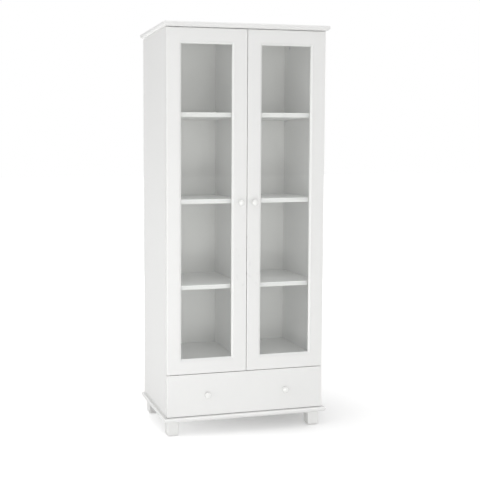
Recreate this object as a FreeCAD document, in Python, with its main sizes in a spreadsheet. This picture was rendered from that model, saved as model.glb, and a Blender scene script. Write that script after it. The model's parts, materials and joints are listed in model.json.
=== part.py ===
import FreeCAD, Part
import os

import Sketcher

# A tall display cabinet of painted board: two glazed doors over one full-width drawer, on block feet.
# Lengths are millimetres. X runs to the right, Y to the rear and Z up, and the origin is on the
# floor, under the middle of the cabinet's outer box.

SIZES = {
    # Outside of the case
    "total_height": 1900,
    "total_width": 800,
    "side_overhang": 15,
    "front_overhang": 15,
    "carcass_depth": 420,
    # Boards
    "top_thickness": 22,
    "base_thickness": 22,
    "side_thickness": 18,
    "partition_thickness": 18,
    "deck_thickness": 18,
    "deck_rail_thickness": 18,
    "deck_rail_height": 40,
    "shelf_thickness": 20,
    "back_thickness": 3,
    "back_recess": 4,
    "rebate_width": 9,
    "back_clearance": 0.5,
    "upper_edge_radius": 4,
    "lower_edge_radius": 13,
    "board_edge_radius": 1,
    # Heights that divide the front
    "foot_height": 73,
    "drawer_front_height": 195,
    "drawer_bay_height": 223,
    # Feet
    "foot_width": 58,
    "foot_taper": 2.5,
    "foot_side_inset": 20,
    "foot_front_inset": 32,
    "foot_rear_inset": 20,
    "foot_edge_radius": 6,
    "glide_radius": 14,
    "glide_thickness": 3,
    "foot_screw_radius": 2.5,
    "foot_screw_head_radius": 4.5,
    "foot_screw_head_height": 3,
    "foot_screw_bite": 35,
    "foot_screw_spread": 9,
    # Shelves and their pins
    "lowest_bay_shortfall": 33,
    "shelf_setback": 16,
    "shelf_clearance": 1,
    "shelf_edge_radius": 1.5,
    "pin_radius": 2.5,
    "pin_depth": 8,
    "pin_reach": 9,
    "pin_inset": 37,
    "pin_hole_pitch": 32,
    # Knock-down fittings of the case
    "drill_clearance": 0.1,
    "cam_radius": 7.5,
    "cam_depth": 13.5,
    "cam_distance": 34,
    "bolt_radius": 3.5,
    "bolt_bite": 11,
    "cam_inset": 62,
    "dowel_radius": 4,
    "dowel_half": 11,
    "dowel_inset": 30,
    "nail_radius": 0.8,
    "nail_length": 16,
    "nail_head_radius": 2.2,
    "nail_head_height": 0.8,
    "nail_end_inset": 30,
    # Doors
    "door_thickness": 22,
    "door_gap": 2.5,
    "door_reveal": 1,
    "front_gap": 3,
    "end_gap": 2.5,
    "front_edge_radius": 2,
    "frame_width": 70,
    "bevel_width": 12,
    "bevel_depth": 11,
    "glass_depth": 13,
    "glass_thickness": 4,
    "glass_rebate": 10,
    "glass_clearance": 1.5,
    "bead_width": 9,
    "bumper_radius": 3.4,
    "bumper_clearance": 0.2,
    "bumper_inset": 45,
    # Knobs
    "knob_projection": 29,
    "knob_radius": 15,
    "knob_head_thickness": 19,
    "knob_neck_radius": 6.5,
    "knob_foot_radius": 9,
    "knob_bore_depth": 14,
    "knob_screw_radius": 2,
    "knob_screw_head_radius": 4,
    "knob_screw_head_height": 1.6,
    "door_knob_inset": 31,
    "drawer_knob_spacing": 384,
    # Concealed hinges
    "hinge_end_inset": 90,
    "hinge_deck_rise": 49.5,
    "hinge_middle_rise": 100,
    "cup_radius": 17.5,
    "cup_depth": 11.5,
    "cup_wall": 1,
    "cup_edge": 5,
    "cup_rim": 1,
    "cup_flange_thickness": 1.2,
    "cup_flange_width": 16,
    "cup_flange_height": 62,
    "cup_screw_radius": 1.8,
    "cup_screw_length": 11,
    "cup_screw_head_radius": 3.4,
    "cup_screw_head_height": 0.9,
    "cup_screw_spread": 25,
    "arm_width": 10,
    "arm_height": 16,
    "arm_dip": 6.5,
    "arm_reach": 58,
    "plate_thickness": 3,
    "plate_setback": 37,
    "plate_width": 18,
    "plate_height": 52,
    "plate_rail_height": 13,
    # Screws of the hinge plates and runners
    "euro_screw_radius": 2.5,
    "euro_screw_bite": 10,
    "euro_screw_head_radius": 3.5,
    "euro_screw_head_height": 1.2,
    "euro_screw_spread": 18,
    # Drawer
    "drawer_wall": 12,
    "drawer_length": 391,
    "drawer_side_height": 130,
    "drawer_bottom_thickness": 3,
    "drawer_groove_depth": 6,
    "drawer_groove_height": 10,
    "drawer_bottom_clearance": 0.5,
    "drawer_dowel_radius": 3,
    "drawer_dowel_half": 12,
    "drawer_dowel_inset": 22,
    "drawer_screw_radius": 2,
    "drawer_screw_length": 32,
    "drawer_screw_head_radius": 3.6,
    "drawer_screw_head_height": 2,
    # Roller runners
    "runner_space": 12.5,
    "runner_rise": 20,
    "runner_sheet": 1.2,
    "runner_height": 30,
    "runner_ledge": 10,
    "runner_length": 386,
    "runner_setback": 3,
    "runner_screw_inset": 45,
    "tread_height": 22,
    "drawer_seat_height": 5,
    "tread_inset": 2.2,
    "drawer_foot_width": 11,
    "roller_radius": 9,
    "roller_width": 6.6,
    "roller_inset": 3.2,
    "roller_setback": 16,
    "roller_gap": 0.2,
    "axle_radius": 2.2,
    "axle_clearance": 0.08,
    "axle_end": 0.8,
    "overrun": 1,
}
SHELF_NAMES = ("upper", "middle", "lower")
SIDES = {"left": -1, "right": 1}
NAILS_UP_THE_SIDE = 11
NAILS_ALONG_THE_DECK = 4

doc = FreeCAD.newDocument("display_cabinet")
sheet = doc.addObject("Spreadsheet::Sheet", "Sizes")
for row, (alias, number) in enumerate(SIZES.items(), start=1):
    sheet.set(f"A{row}", alias)
    sheet.set(f"B{row}", str(number))
    sheet.setAlias(f"B{row}", alias)
doc.recompute()


class Size:
    """A length written as a formula of the sheet's cells, with the value that it has now."""

    def __init__(self, formula, value):
        self.formula = formula
        self.value = value

    def joined(self, sign, other, value):
        return Size(f"({self.formula} {sign} {as_size(other).formula})", value)

    def __add__(self, other):
        return self.joined("+", other, self.value + as_size(other).value)

    def __sub__(self, other):
        return self.joined("-", other, self.value - as_size(other).value)

    def __mul__(self, other):
        return self.joined("*", other, self.value * as_size(other).value)

    def __truediv__(self, other):
        return self.joined("/", other, self.value / as_size(other).value)

    def __rmul__(self, count):
        return as_size(count) * self

    def __neg__(self):
        return Size(f"(-1 * {self.formula})", -self.value)


def as_size(number):
    return number if isinstance(number, Size) else Size(f"({number})", number)


class Cells:
    """The sheet's cells, each read by its alias."""

    def __getattr__(self, alias):
        return Size(f"Sizes.{alias}", float(sheet.get(alias)))


cell = Cells()
ZERO = as_size(0)

# Planes that the pieces share
back = (cell.knob_projection + cell.door_thickness + cell.door_gap + cell.carcass_depth) / 2
case_front = back - cell.carcass_depth
door_back = case_front - cell.door_gap
door_front = door_back - cell.door_thickness
back_face = back - cell.back_recess
half_case = cell.total_width / 2 - cell.side_overhang
half_inside = half_case - cell.side_thickness
half_partition = cell.partition_thickness / 2
base_top = cell.foot_height + cell.base_thickness
top_underside = cell.total_height - cell.top_thickness
deck_underside = base_top + cell.drawer_bay_height
deck_middle = deck_underside + cell.deck_thickness / 2
deck_top = deck_underside + cell.deck_thickness
front_low = base_top + cell.end_gap
front_high = front_low + cell.drawer_front_height
door_low = front_high + cell.front_gap
door_high = top_underside - cell.end_gap

# Each round bar is also spun about itself, so that its seam lies clear of the holes that cross it
SEAM_TURN = FreeCAD.Rotation(FreeCAD.Vector(0, 0, 1), 37)
TURNS = {
    "x": FreeCAD.Rotation(FreeCAD.Vector(0, 1, 0), 90) * SEAM_TURN,
    "y": FreeCAD.Rotation(FreeCAD.Vector(1, 0, 0), -90) * SEAM_TURN,
    "z": SEAM_TURN,
}
FACES = {
    "left": ("X", "Min"), "right": ("X", "Max"),
    "front": ("Y", "Min"), "rear": ("Y", "Max"),
    "bottom": ("Z", "Min"), "top": ("Z", "Max"),
}
SAME_PLACE_SHARE = 1e-5

pieces = {}
node_of = {}
holes_in = {}


def piece(name, solid, node=None):
    """Keep a solid under its own name, in a node that it may share with pieces of its kind."""
    pieces[name] = solid
    node_of[name] = node or name


def bind(target, property_path, size):
    target.setExpression(property_path, as_size(size).formula)


def place(target, **at):
    for axis, size in at.items():
        bind(target, f"Placement.Base.{axis}", size)


def in_order(span):
    return sorted((as_size(end) for end in span), key=lambda end: end.value)


def box(name, x, y, z):
    """A plain block between two planes on each axis."""
    block = doc.addObject("Part::Box", name)
    for edge, axis, span in zip(("Length", "Width", "Height"), "xyz", (x, y, z)):
        start, end = in_order(span)
        bind(block, edge, end - start)
        place(block, **{axis: start})
    return block


def rod(name, radius, axis, span, **centre):
    """A round bar along one axis, between two planes."""
    start, end = in_order(span)
    bar = doc.addObject("Part::Cylinder", name)
    bar.Placement = FreeCAD.Placement(FreeCAD.Vector(), TURNS[axis])
    bind(bar, "Radius", radius)
    bind(bar, "Height", end - start)
    place(bar, **centre, **{axis: start})
    return bar


def joined(name, solids):
    fused = doc.addObject("Part::MultiFuse", name)
    fused.Shapes = solids
    return fused


def cut(name, solid, tools):
    result = doc.addObject("Part::Cut", name)
    result.Base = solid
    result.Tool = tools[0] if len(tools) == 1 else joined(name + "_tools", tools)
    return result


def drill(names, radius, axis, span, **centre):
    """Note a round hole in each named piece, a drill clearance wider and deeper than what it takes."""
    start, end = in_order(span)
    reach = (start - cell.drill_clearance, end + cell.drill_clearance)
    hole = rod(names[0] + "_hole", radius + cell.drill_clearance, axis, reach, **centre)
    for name in names:
        holes_in.setdefault(name, []).append(hole)


def fitted_rod(name, radius, axis, span, holes, **centre):
    """A pin, dowel or bolt, and its hole in each piece that it enters."""
    drill(holes, radius, axis, span, **centre)
    return rod(name, radius, axis, span, **centre)


def screw(name, kind, axis, seat, length, away, holes, **centre):
    """A flat-headed screw whose head lies on a seat and whose shank runs away from it."""
    radius = getattr(cell, kind + "_radius")
    head_radius = getattr(cell, kind + "_head_radius")
    head_height = getattr(cell, kind + "_head_height")
    shank = fitted_rod(name + "_shank", radius, axis, (seat, seat + away * length), holes, **centre)
    head = rod(name + "_head", head_radius, axis, (seat, seat - away * head_height), **centre)
    return joined(name, [shank, head])


def lies_on(edge, shape, face):
    """Whether an edge lies wholly in one of the six outer planes of a shape."""
    axis, end = FACES[face]
    plane = getattr(shape.BoundBox, axis + end)
    slack = shape.BoundBox.DiagonalLength * SAME_PLACE_SHARE
    return all(abs(getattr(edge.BoundBox, axis + limit) - plane) < slack for limit in ("Min", "Max"))


def round_edges(body, radius, face, neighbours):
    """Round the edges that one outer face of a body shares with some of its neighbours."""
    doc.recompute()
    base = body.Tip
    names = [
        f"Edge{number}"
        for number, edge in enumerate(base.Shape.Edges, start=1)
        if lies_on(edge, base.Shape, face) and any(lies_on(edge, base.Shape, side) for side in neighbours)
    ]
    fillet = body.newObject("PartDesign::Fillet", body.Name + "_edge")
    fillet.Base = (base, names)
    bind(fillet, "Radius", radius)
    doc.recompute()


def board(name, x, y, z):
    """A flat board as a body of its own, ready to have its edges rounded."""
    body = doc.addObject("PartDesign::Body", name + "_board")
    block = body.newObject("PartDesign::AdditiveBox", name + "_block")
    for edge, axis, span in zip(("Length", "Width", "Height"), "xyz", (x, y, z)):
        start, end = in_order(span)
        bind(block, edge, end - start)
        place(body, **{axis: start})
    return body


def profile(name, corners, y):
    """A body of one outline, drawn in the front view by its corners, that runs from front to rear."""
    start, end = in_order(y)
    body = doc.addObject("PartDesign::Body", name + "_profile")
    sketch = body.newObject("Sketcher::SketchObject", name + "_outline")
    plane = next(p for p in body.Origin.OriginFeatures if p.Role == "XZ_Plane")
    sketch.AttachmentSupport = [(plane, "")]
    sketch.MapMode = "FlatFace"
    points = [FreeCAD.Vector(as_size(x).value, as_size(z).value, 0) for x, z in corners]
    count = len(points)
    for number, point in enumerate(points):
        sketch.addGeometry(Part.LineSegment(point, points[(number + 1) % count]))
    for number in range(count):
        sketch.addConstraint(Sketcher.Constraint("Coincident", number, 2, (number + 1) % count, 1))
    for number, (x, z) in enumerate(corners):
        for kind, size in (("DistanceX", x), ("DistanceY", z)):
            constraint = Sketcher.Constraint(kind, -1, 1, number, 1, as_size(size).value)
            index = sketch.addConstraint(constraint)
            sketch.setExpression(f"Constraints[{index}]", as_size(size).formula)
    pad = body.newObject("PartDesign::Pad", name + "_pad")
    pad.Profile = sketch
    pad.Reversed = True
    bind(pad, "Length", end - start)
    place(body, y=start)
    return body


# Case: the boards that stand on the base, each pulled to the next by cams and set by dowels

front_edge = door_front - cell.front_overhang
half_width = cell.total_width / 2
wide_panels = {
    "top_panel": (top_underside, cell.total_height),
    "base_panel": (cell.foot_height, base_top),
}
for name, z in wide_panels.items():
    panel = board(name, (-half_width, half_width), (front_edge, back), z)
    round_edges(panel, cell.upper_edge_radius, "top", ("front", "left", "right"))
    round_edges(panel, cell.lower_edge_radius, "bottom", ("front", "left", "right"))
    piece(name, panel)

for hand, side in SIDES.items():
    name = f"{hand}_side_panel"
    standing = (base_top, top_underside)
    panel = board(name, (side * half_inside, side * half_case), (case_front, back), standing)
    round_edges(panel, cell.board_edge_radius, hand, ("front", "rear"))
    rebate = box(
        name + "_rebate",
        (side * (half_inside - cell.overrun), side * (half_inside + cell.rebate_width)),
        (back_face, back + cell.overrun),
        (base_top - cell.overrun, top_underside + cell.overrun),
    )
    piece(name, cut(name + "_rebated", panel, [rebate]))

inner_depth = (case_front, back_face)
deck = box("deck_blank", (-half_inside, half_inside), inner_depth, (deck_underside, deck_top))
piece("drawer_deck", deck)
deck_rail_y = (case_front, case_front + cell.deck_rail_thickness)
deck_rail_z = (deck_underside - cell.deck_rail_height, deck_underside)
piece("deck_rail", box("deck_rail_blank", (-half_inside, half_inside), deck_rail_y, deck_rail_z))
partition_width = (-half_partition, half_partition)
partition = box("partition_blank", partition_width, inner_depth, (deck_top, top_underside))
piece("centre_partition", partition)

half_back = half_inside + cell.rebate_width - cell.back_clearance
back_height = (base_top + cell.back_clearance, top_underside - cell.back_clearance)
back_rear = back_face + cell.back_thickness
piece("back_panel", box("back_blank", (-half_back, half_back), (back_face, back_rear), back_height))


FITTING_ROWS = (
    ("front", case_front + cell.cam_inset, case_front + cell.dowel_inset),
    ("rear", back_face - cell.cam_inset, back_face - cell.dowel_inset),
)


def pull_together(tag, cam_axis, cam_span, pull_axis, cam_at, end, reach, boards, **centre):
    """Two cams with their bolts, and two dowels, that pull the end of a board to its neighbour.

    The cams and bolts lie cam_at along the pull axis, the joint between the boards lies at end, and
    centre is the middle of the first board across that axis. Reach is +1 or -1, from cam to neighbour.
    """
    along = {pull_axis: cam_at}
    for where, y_cam, y_dowel in FITTING_ROWS:
        cam = f"cam_{tag}_{where}"
        lock = fitted_rod(cam + "_blank", cell.cam_radius, cam_axis, cam_span, boards[:1], y=y_cam, **along)
        piece(cam, lock, "cam_locks")
        bolt_name = f"bolt_{tag}_{where}"
        bolt_span = (cam_at, end + reach * cell.bolt_bite)
        entered = [cam] + boards
        bolt = fitted_rod(bolt_name, cell.bolt_radius, pull_axis, bolt_span, entered, y=y_cam, **centre)
        piece(bolt_name, bolt, "cam_bolts")
        dowel_name = f"dowel_{tag}_{where}"
        dowel_span = (end - cell.dowel_half, end + cell.dowel_half)
        across = {"y": y_dowel, **centre}
        dowel = fitted_rod(dowel_name, cell.dowel_radius, pull_axis, dowel_span, boards, **across)
        piece(dowel_name, dowel, "wood_dowels")


def pull_upright(name, middle, cam_face, into, end, up, neighbour):
    """The fittings between the end of an upright board and the board above or below it."""
    cam_span = (cam_face, cam_face + into * cell.cam_depth)
    cam_height = end - up * cell.cam_distance
    tag = f"{name}_{neighbour}"
    pull_together(tag, "x", cam_span, "z", cam_height, end, up, [name, neighbour], x=middle)


for hand, side in SIDES.items():
    name = f"{hand}_side_panel"
    middle = side * (half_inside + cell.side_thickness / 2)
    pull_upright(name, middle, side * half_inside, side, top_underside, 1, "top_panel")
    pull_upright(name, middle, side * half_inside, side, base_top, -1, "base_panel")
    cam_span = (deck_underside, deck_underside + cell.cam_depth)
    cam_at = side * (half_inside - cell.cam_distance)
    end = side * half_inside
    boards = ["drawer_deck", name]
    pull_together(f"deck_{hand}", "z", cam_span, "x", cam_at, end, side, boards, z=deck_middle)
pull_upright("centre_partition", ZERO, half_partition, -1, top_underside, 1, "top_panel")
pull_upright("centre_partition", ZERO, half_partition, -1, deck_top, -1, "drawer_deck")

# The rail under the deck's front edge is doweled up into the deck and sideways into the sides

rail_centre = {
    "y": case_front + cell.deck_rail_thickness / 2,
    "z": deck_underside - cell.deck_rail_height / 2,
}
for hand, side in SIDES.items():
    end = side * half_inside
    end_span = (end - cell.dowel_half, end + cell.dowel_half)
    entered = ["deck_rail", f"{hand}_side_panel"]
    end_dowel = fitted_rod(f"rail_dowel_{hand}", cell.dowel_radius, "x", end_span, entered, **rail_centre)
    piece(end_dowel.Name, end_dowel, "wood_dowels")
    up_span = (deck_underside - cell.dowel_half, deck_underside + cell.dowel_half)
    at = {"x": side * half_inside / 2, "y": rail_centre["y"]}
    entered = ["deck_rail", "drawer_deck"]
    up_dowel = fitted_rod(f"rail_dowel_up_{hand}", cell.dowel_radius, "z", up_span, entered, **at)
    piece(up_dowel.Name, up_dowel, "wood_dowels")

# Nails that hold the back sheet to the sides, the partition and the deck


def nail(name, x, z, holes):
    span = (back_rear - cell.nail_length, back_rear)
    shank = fitted_rod(name + "_shank", cell.nail_radius, "y", span, holes + ["back_panel"], x=x, z=z)
    head_span = (back_rear, back_rear + cell.nail_head_height)
    head = rod(name + "_head", cell.nail_head_radius, "y", head_span, x=x, z=z)
    piece(name, joined(name, [shank, head]), "back_nails")


side_nail_x = half_inside + cell.rebate_width / 2
for number in range(NAILS_UP_THE_SIDE):
    low = back_height[0] + cell.nail_end_inset
    high = back_height[1] - cell.nail_end_inset
    height = low + (high - low) * number / (NAILS_UP_THE_SIDE - 1)
    for hand, side in SIDES.items():
        nail(f"nail_{hand}_{number}", side * side_nail_x, height, [f"{hand}_side_panel"])
    if height.value > deck_top.value + cell.nail_end_inset.value:
        nail(f"nail_middle_{number}", ZERO, height, ["centre_partition"])
for number in range(NAILS_ALONG_THE_DECK):
    step = 2 * half_inside / (NAILS_ALONG_THE_DECK + 1)
    nail(f"nail_deck_{number}", step * (number + 1) - half_inside, deck_middle, ["drawer_deck"])

# Shelves: six loose boards on pins, with spare pin holes above and below each level

# The bays above the lowest one are equal, and it is lower by a named amount
shelf_count = len(SHELF_NAMES)
bay_heights = top_underside - deck_top - shelf_count * cell.shelf_thickness
compartment_height = (bay_heights + cell.lowest_bay_shortfall) / (shelf_count + 1)
shelf_y = (case_front + cell.shelf_setback, back_face - cell.shelf_clearance)
for level, level_name in enumerate(SHELF_NAMES, start=1):
    underside = top_underside - level * (compartment_height + cell.shelf_thickness)
    pin_z = underside - cell.pin_radius
    for hand, side in SIDES.items():
        near = half_partition + cell.shelf_clearance
        far = half_inside - cell.shelf_clearance
        name = f"{hand}_{level_name}_shelf"
        thickness = (underside, underside + cell.shelf_thickness)
        shelf = board(name, (side * near, side * far), shelf_y, thickness)
        round_edges(shelf, cell.shelf_edge_radius, "front", ("top", "bottom"))
        piece(name, shelf)
        walls = (
            ("centre_partition", side * half_partition, -side),
            (f"{hand}_side_panel", side * half_inside, side),
        )
        pin_rows = (("front", shelf_y[0] + cell.pin_inset), ("rear", shelf_y[1] - cell.pin_inset))
        for wall, face, into in walls:
            for where, y_pin in pin_rows:
                seat = (face + into * cell.pin_depth, face - into * cell.pin_reach)
                pin = rod(f"pin_{name}_{wall}_{where}", cell.pin_radius, "x", seat, y=y_pin, z=pin_z)
                piece(pin.Name, pin, "shelf_pins")
                hole_depth = (face + into * cell.pin_depth, face - into * cell.overrun)
                for spare in (-1, 0, 1):
                    z_hole = pin_z + spare * cell.pin_hole_pitch
                    drill([wall], cell.pin_radius, "x", hole_depth, y=y_pin, z=z_hole)

# Feet: tapered blocks with soft edges, screwed down through the base, each on a glide

foot_x = half_width - cell.foot_side_inset - cell.foot_width / 2
foot_rows = {
    "front": front_edge + cell.foot_front_inset + cell.foot_width / 2,
    "rear": back - cell.foot_rear_inset - cell.foot_width / 2,
}
for row_name, foot_y in foot_rows.items():
    for hand, side in SIDES.items():
        name = f"{row_name}_{hand}_foot"
        body = doc.addObject("PartDesign::Body", name + "_body")
        block = body.newObject("PartDesign::AdditiveWedge", name + "_block")
        half_top = cell.foot_width / 2
        half_floor = half_top - cell.foot_taper
        for edge, size in (
            ("Xmin", -half_floor), ("Xmax", half_floor), ("X2min", -half_top), ("X2max", half_top),
            ("Zmin", -half_floor), ("Zmax", half_floor), ("Z2min", -half_top), ("Z2max", half_top),
            ("Ymin", cell.glide_thickness), ("Ymax", cell.foot_height),
        ):
            bind(block, edge, size)
        body.Placement = FreeCAD.Placement(FreeCAD.Vector(), FreeCAD.Rotation(FreeCAD.Vector(1, 0, 0), 90))
        place(body, x=side * foot_x, y=foot_y)
        doc.recompute()
        soft = [
            f"Edge{number}"
            for number, edge in enumerate(block.Shape.Edges, start=1)
            if edge.CenterOfMass.z < cell.foot_height.value * (1 - SAME_PLACE_SHARE)
        ]
        fillet = body.newObject("PartDesign::Fillet", name + "_edge")
        fillet.Base = (block, soft)
        bind(fillet, "Radius", cell.foot_edge_radius)
        piece(name, body)
        glide_span = (ZERO, cell.glide_thickness)
        glide = rod(name + "_glide", cell.glide_radius, "z", glide_span, x=side * foot_x, y=foot_y)
        piece(glide.Name, glide, "foot_glides")
        for end in (-1, 1):
            spread = end * cell.foot_screw_spread
            seat = base_top - cell.foot_screw_head_height
            entered = ["base_panel", name]
            at = {"x": side * foot_x, "y": foot_y + spread}
            reach = cell.base_thickness - cell.foot_screw_head_height + cell.foot_screw_bite
            tag = f"{name}_screw_{'front' if end < 0 else 'rear'}"
            piece(tag, screw(tag, "foot_screw", "z", seat, reach, -1, entered, **at), "foot_screws")
            drill(["base_panel"], cell.foot_screw_head_radius, "z", (seat, base_top), **at)

# Knobs: a turned head on a waisted neck, held by a screw from behind


def knob(name, x, z, panel, node, screw_node):
    """A knob on the front of a door or drawer, with its screw."""
    tip = door_front - cell.knob_projection
    head = doc.addObject("Part::Ellipsoid", name + "_head")
    bind(head, "Radius1", cell.knob_head_thickness / 2)
    bind(head, "Radius2", cell.knob_radius)
    bind(head, "Radius3", cell.knob_radius)
    head.Placement = FreeCAD.Placement(FreeCAD.Vector(), TURNS["y"])
    place(head, x=x, y=tip + cell.knob_head_thickness / 2, z=z)
    neck = doc.addObject("Part::Cone", name + "_neck")
    bind(neck, "Radius1", cell.knob_neck_radius)
    bind(neck, "Radius2", cell.knob_foot_radius)
    bind(neck, "Height", cell.knob_projection - cell.knob_head_thickness / 2)
    neck.Placement = FreeCAD.Placement(FreeCAD.Vector(), TURNS["y"])
    place(neck, x=x, y=tip + cell.knob_head_thickness / 2, z=z)
    piece(name, joined(name + "_blank", [head, neck]), node)
    length = cell.door_thickness + cell.knob_bore_depth
    fixing = screw(name + "_screw", "knob_screw", "y", door_back, length, -1, [panel, name], x=x, z=z)
    piece(name + "_screw", fixing, screw_node)


# Doors: a stile-and-rail frame, bevelled round the glass, that laps the whole front of its half

door_middle = (door_low + door_high) / 2
flat = cell.frame_width - cell.bevel_width
member = cell.frame_width
bevel_growth = cell.bevel_width * (cell.bevel_depth + cell.overrun) / cell.bevel_depth
glass_front = door_front + cell.glass_depth
glass_back = glass_front + cell.glass_thickness
hinge_heights = {
    "lower": deck_top + cell.hinge_deck_rise,
    "middle": door_middle + cell.hinge_middle_rise,
    "upper": door_high - cell.hinge_end_inset,
}
for hand, side in SIDES.items():
    outer = side * (half_case - cell.door_reveal)
    meeting = side * cell.front_gap / 2

    def from_outer(distance):
        return outer - side * distance

    def from_meeting(distance):
        return meeting + side * distance

    def stile(from_edge):
        return [
            (from_edge(ZERO), door_low), (from_edge(flat), door_low), (from_edge(flat), door_low + flat),
            (from_edge(member), door_low + member), (from_edge(member), door_high - member),
            (from_edge(flat), door_high - flat), (from_edge(flat), door_high), (from_edge(ZERO), door_high),
        ]

    def rail(edge, inward):
        step = edge + inward * flat
        inner = edge + inward * member
        return [
            (from_outer(flat), edge), (from_meeting(flat), edge), (from_meeting(flat), step),
            (from_meeting(member), inner), (from_outer(member), inner), (from_outer(flat), step),
        ]

    bevel = doc.addObject("Part::Wedge", f"{hand}_door_bevel")
    low_x, high_x = in_order((from_outer(member), from_meeting(member)))
    for edge, size in (
        ("Xmin", low_x - bevel_growth), ("Xmax", high_x + bevel_growth),
        ("Zmin", door_low + member - bevel_growth), ("Zmax", door_high - member + bevel_growth),
        ("X2min", low_x), ("X2max", high_x), ("Z2min", door_low + member), ("Z2max", door_high - member),
        ("Ymin", door_front - cell.overrun), ("Ymax", door_front + cell.bevel_depth),
    ):
        bind(bevel, edge, size)
    rebate_x = (low_x - cell.glass_rebate, high_x + cell.glass_rebate)
    rebate_z = (door_low + member - cell.glass_rebate, door_high - member + cell.glass_rebate)
    rebate = box(f"{hand}_door_rebate", rebate_x, (glass_front, door_back + cell.overrun), rebate_z)
    meeting_side = "right" if side < 0 else "left"
    frame = {
        "hinge_stile": (stile(from_outer), (hand, "top", "bottom")),
        "meeting_stile": (stile(from_meeting), (meeting_side, "top", "bottom")),
        "top_rail": (rail(door_high, -1), ("top",)),
        "bottom_rail": (rail(door_low, 1), ("bottom",)),
    }
    for part_name, (corners, soft_sides) in frame.items():
        name = f"{hand}_door_{part_name}"
        blank = profile(name, corners, (door_front, door_back))
        round_edges(blank, cell.front_edge_radius, "front", soft_sides)
        piece(name, cut(name + "_moulded", blank, [bevel, rebate]))

    glass_x = (rebate_x[0] + cell.glass_clearance, rebate_x[1] - cell.glass_clearance)
    glass_z = (rebate_z[0] + cell.glass_clearance, rebate_z[1] - cell.glass_clearance)
    piece(f"{hand}_door_glass", box(f"{hand}_pane", glass_x, (glass_front, glass_back), glass_z))
    bead_node = f"{hand}_door_glass_beads"
    bead_y = (glass_back, door_back)
    bead_inner = (rebate_x[0] + cell.bead_width, rebate_x[1] - cell.bead_width)
    for end, edge, inward in (("left", rebate_x[0], 1), ("right", rebate_x[1], -1)):
        bead = box(f"{hand}_bead_{end}", (edge, edge + inward * cell.bead_width), bead_y, rebate_z)
        piece(bead.Name, bead, bead_node)
    for end, edge, inward in (("bottom", rebate_z[0], 1), ("top", rebate_z[1], -1)):
        bead = box(f"{hand}_bead_{end}", bead_inner, bead_y, (edge, edge + inward * cell.bead_width))
        piece(bead.Name, bead, bead_node)

    screw_node = f"{hand}_door_screws"
    knob_name = f"{hand}_door_knob"
    knob_x = from_meeting(cell.door_knob_inset)
    knob(knob_name, knob_x, door_middle, f"{hand}_door_meeting_stile", knob_name, screw_node)
    for end, height in (("lower", door_low + cell.bumper_inset), ("upper", door_high - cell.bumper_inset)):
        bumper_x = from_meeting(half_partition - cell.front_gap / 2 - cell.bumper_radius)
        bumper_y = (door_back, case_front - cell.bumper_clearance)
        bumper = rod(f"{hand}_bumper_{end}", cell.bumper_radius, "y", bumper_y, x=bumper_x, z=height)
        piece(bumper.Name, bumper, f"{hand}_door_bumpers")

    cup_x = from_outer(cell.cup_edge + cell.cup_radius)
    side_face = side * half_inside
    for end, height in hinge_heights.items():
        stile_name = f"{hand}_door_hinge_stile"
        cup_name = f"{hand}_hinge_cup_{end}"
        sunk = (door_back - cell.cup_depth, door_back)
        flange_y = (door_back, door_back + cell.cup_flange_thickness)
        half_flange = cell.cup_flange_width / 2
        shell = fitted_rod(cup_name + "_shell", cell.cup_radius, "y", sunk, [stile_name], x=cup_x, z=height)
        rim = rod(cup_name + "_rim", cell.cup_radius + cell.cup_rim, "y", flange_y, x=cup_x, z=height)
        wings = box(
            cup_name + "_wings", (cup_x - half_flange, cup_x + half_flange), flange_y,
            (height - cell.cup_flange_height / 2, height + cell.cup_flange_height / 2),
        )
        inside_y = (door_back - cell.cup_depth + cell.cup_wall, flange_y[1] + cell.overrun)
        inside_radius = cell.cup_radius - cell.cup_wall
        inside = rod(cup_name + "_inside", inside_radius, "y", inside_y, x=cup_x, z=height)
        cup = cut(cup_name + "_pressed", joined(cup_name + "_solid", [shell, rim, wings]), [inside])
        piece(cup_name, cup, f"{hand}_door_hinge_cups")
        for place_name, turn in (("low", -1), ("high", 1)):
            tag = f"{cup_name}_screw_{place_name}"
            at = {"x": cup_x, "z": height + turn * cell.cup_screw_spread}
            entered = [cup_name, stile_name]
            fixing = screw(tag, "cup_screw", "y", flange_y[1], cell.cup_screw_length, -1, entered, **at)
            piece(tag, fixing, screw_node)

        plate_name = f"{hand}_hinge_plate_{end}"
        plate_y = case_front + cell.plate_setback
        plate_x = (side_face, side_face - side * cell.plate_thickness)
        half_plate = cell.plate_width / 2
        cross = box(
            plate_name + "_cross", plate_x, (plate_y - half_plate, plate_y + half_plate),
            (height - cell.plate_height / 2, height + cell.plate_height / 2),
        )
        rail_reach = cell.arm_reach - cell.plate_setback
        spine = box(
            plate_name + "_spine", plate_x, (plate_y - rail_reach, plate_y + rail_reach),
            (height - cell.plate_rail_height / 2, height + cell.plate_rail_height / 2),
        )
        piece(plate_name, joined(plate_name + "_blank", [cross, spine]), "hinge_plates")
        arm_x = (plate_x[1], plate_x[1] - side * cell.arm_width)
        arm_y = (door_back - cell.arm_dip, case_front + cell.arm_reach)
        arm_z = (height - cell.arm_height / 2, height + cell.arm_height / 2)
        arm = box(f"{hand}_hinge_arm_{end}", arm_x, arm_y, arm_z)
        piece(arm.Name, arm, "hinge_arms")
        for place_name, turn in (("low", -1), ("high", 1)):
            tag = f"{plate_name}_screw_{place_name}"
            at = {"y": plate_y, "z": height + turn * cell.euro_screw_spread}
            entered = [plate_name, f"{hand}_side_panel"]
            length = cell.plate_thickness + cell.euro_screw_bite
            fixing = screw(tag, "euro_screw", "x", plate_x[1], length, side, entered, **at)
            piece(tag, fixing, "carcass_screws")

# Drawer: a full-width front on an open box, its sheet bottom let into grooves

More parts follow.
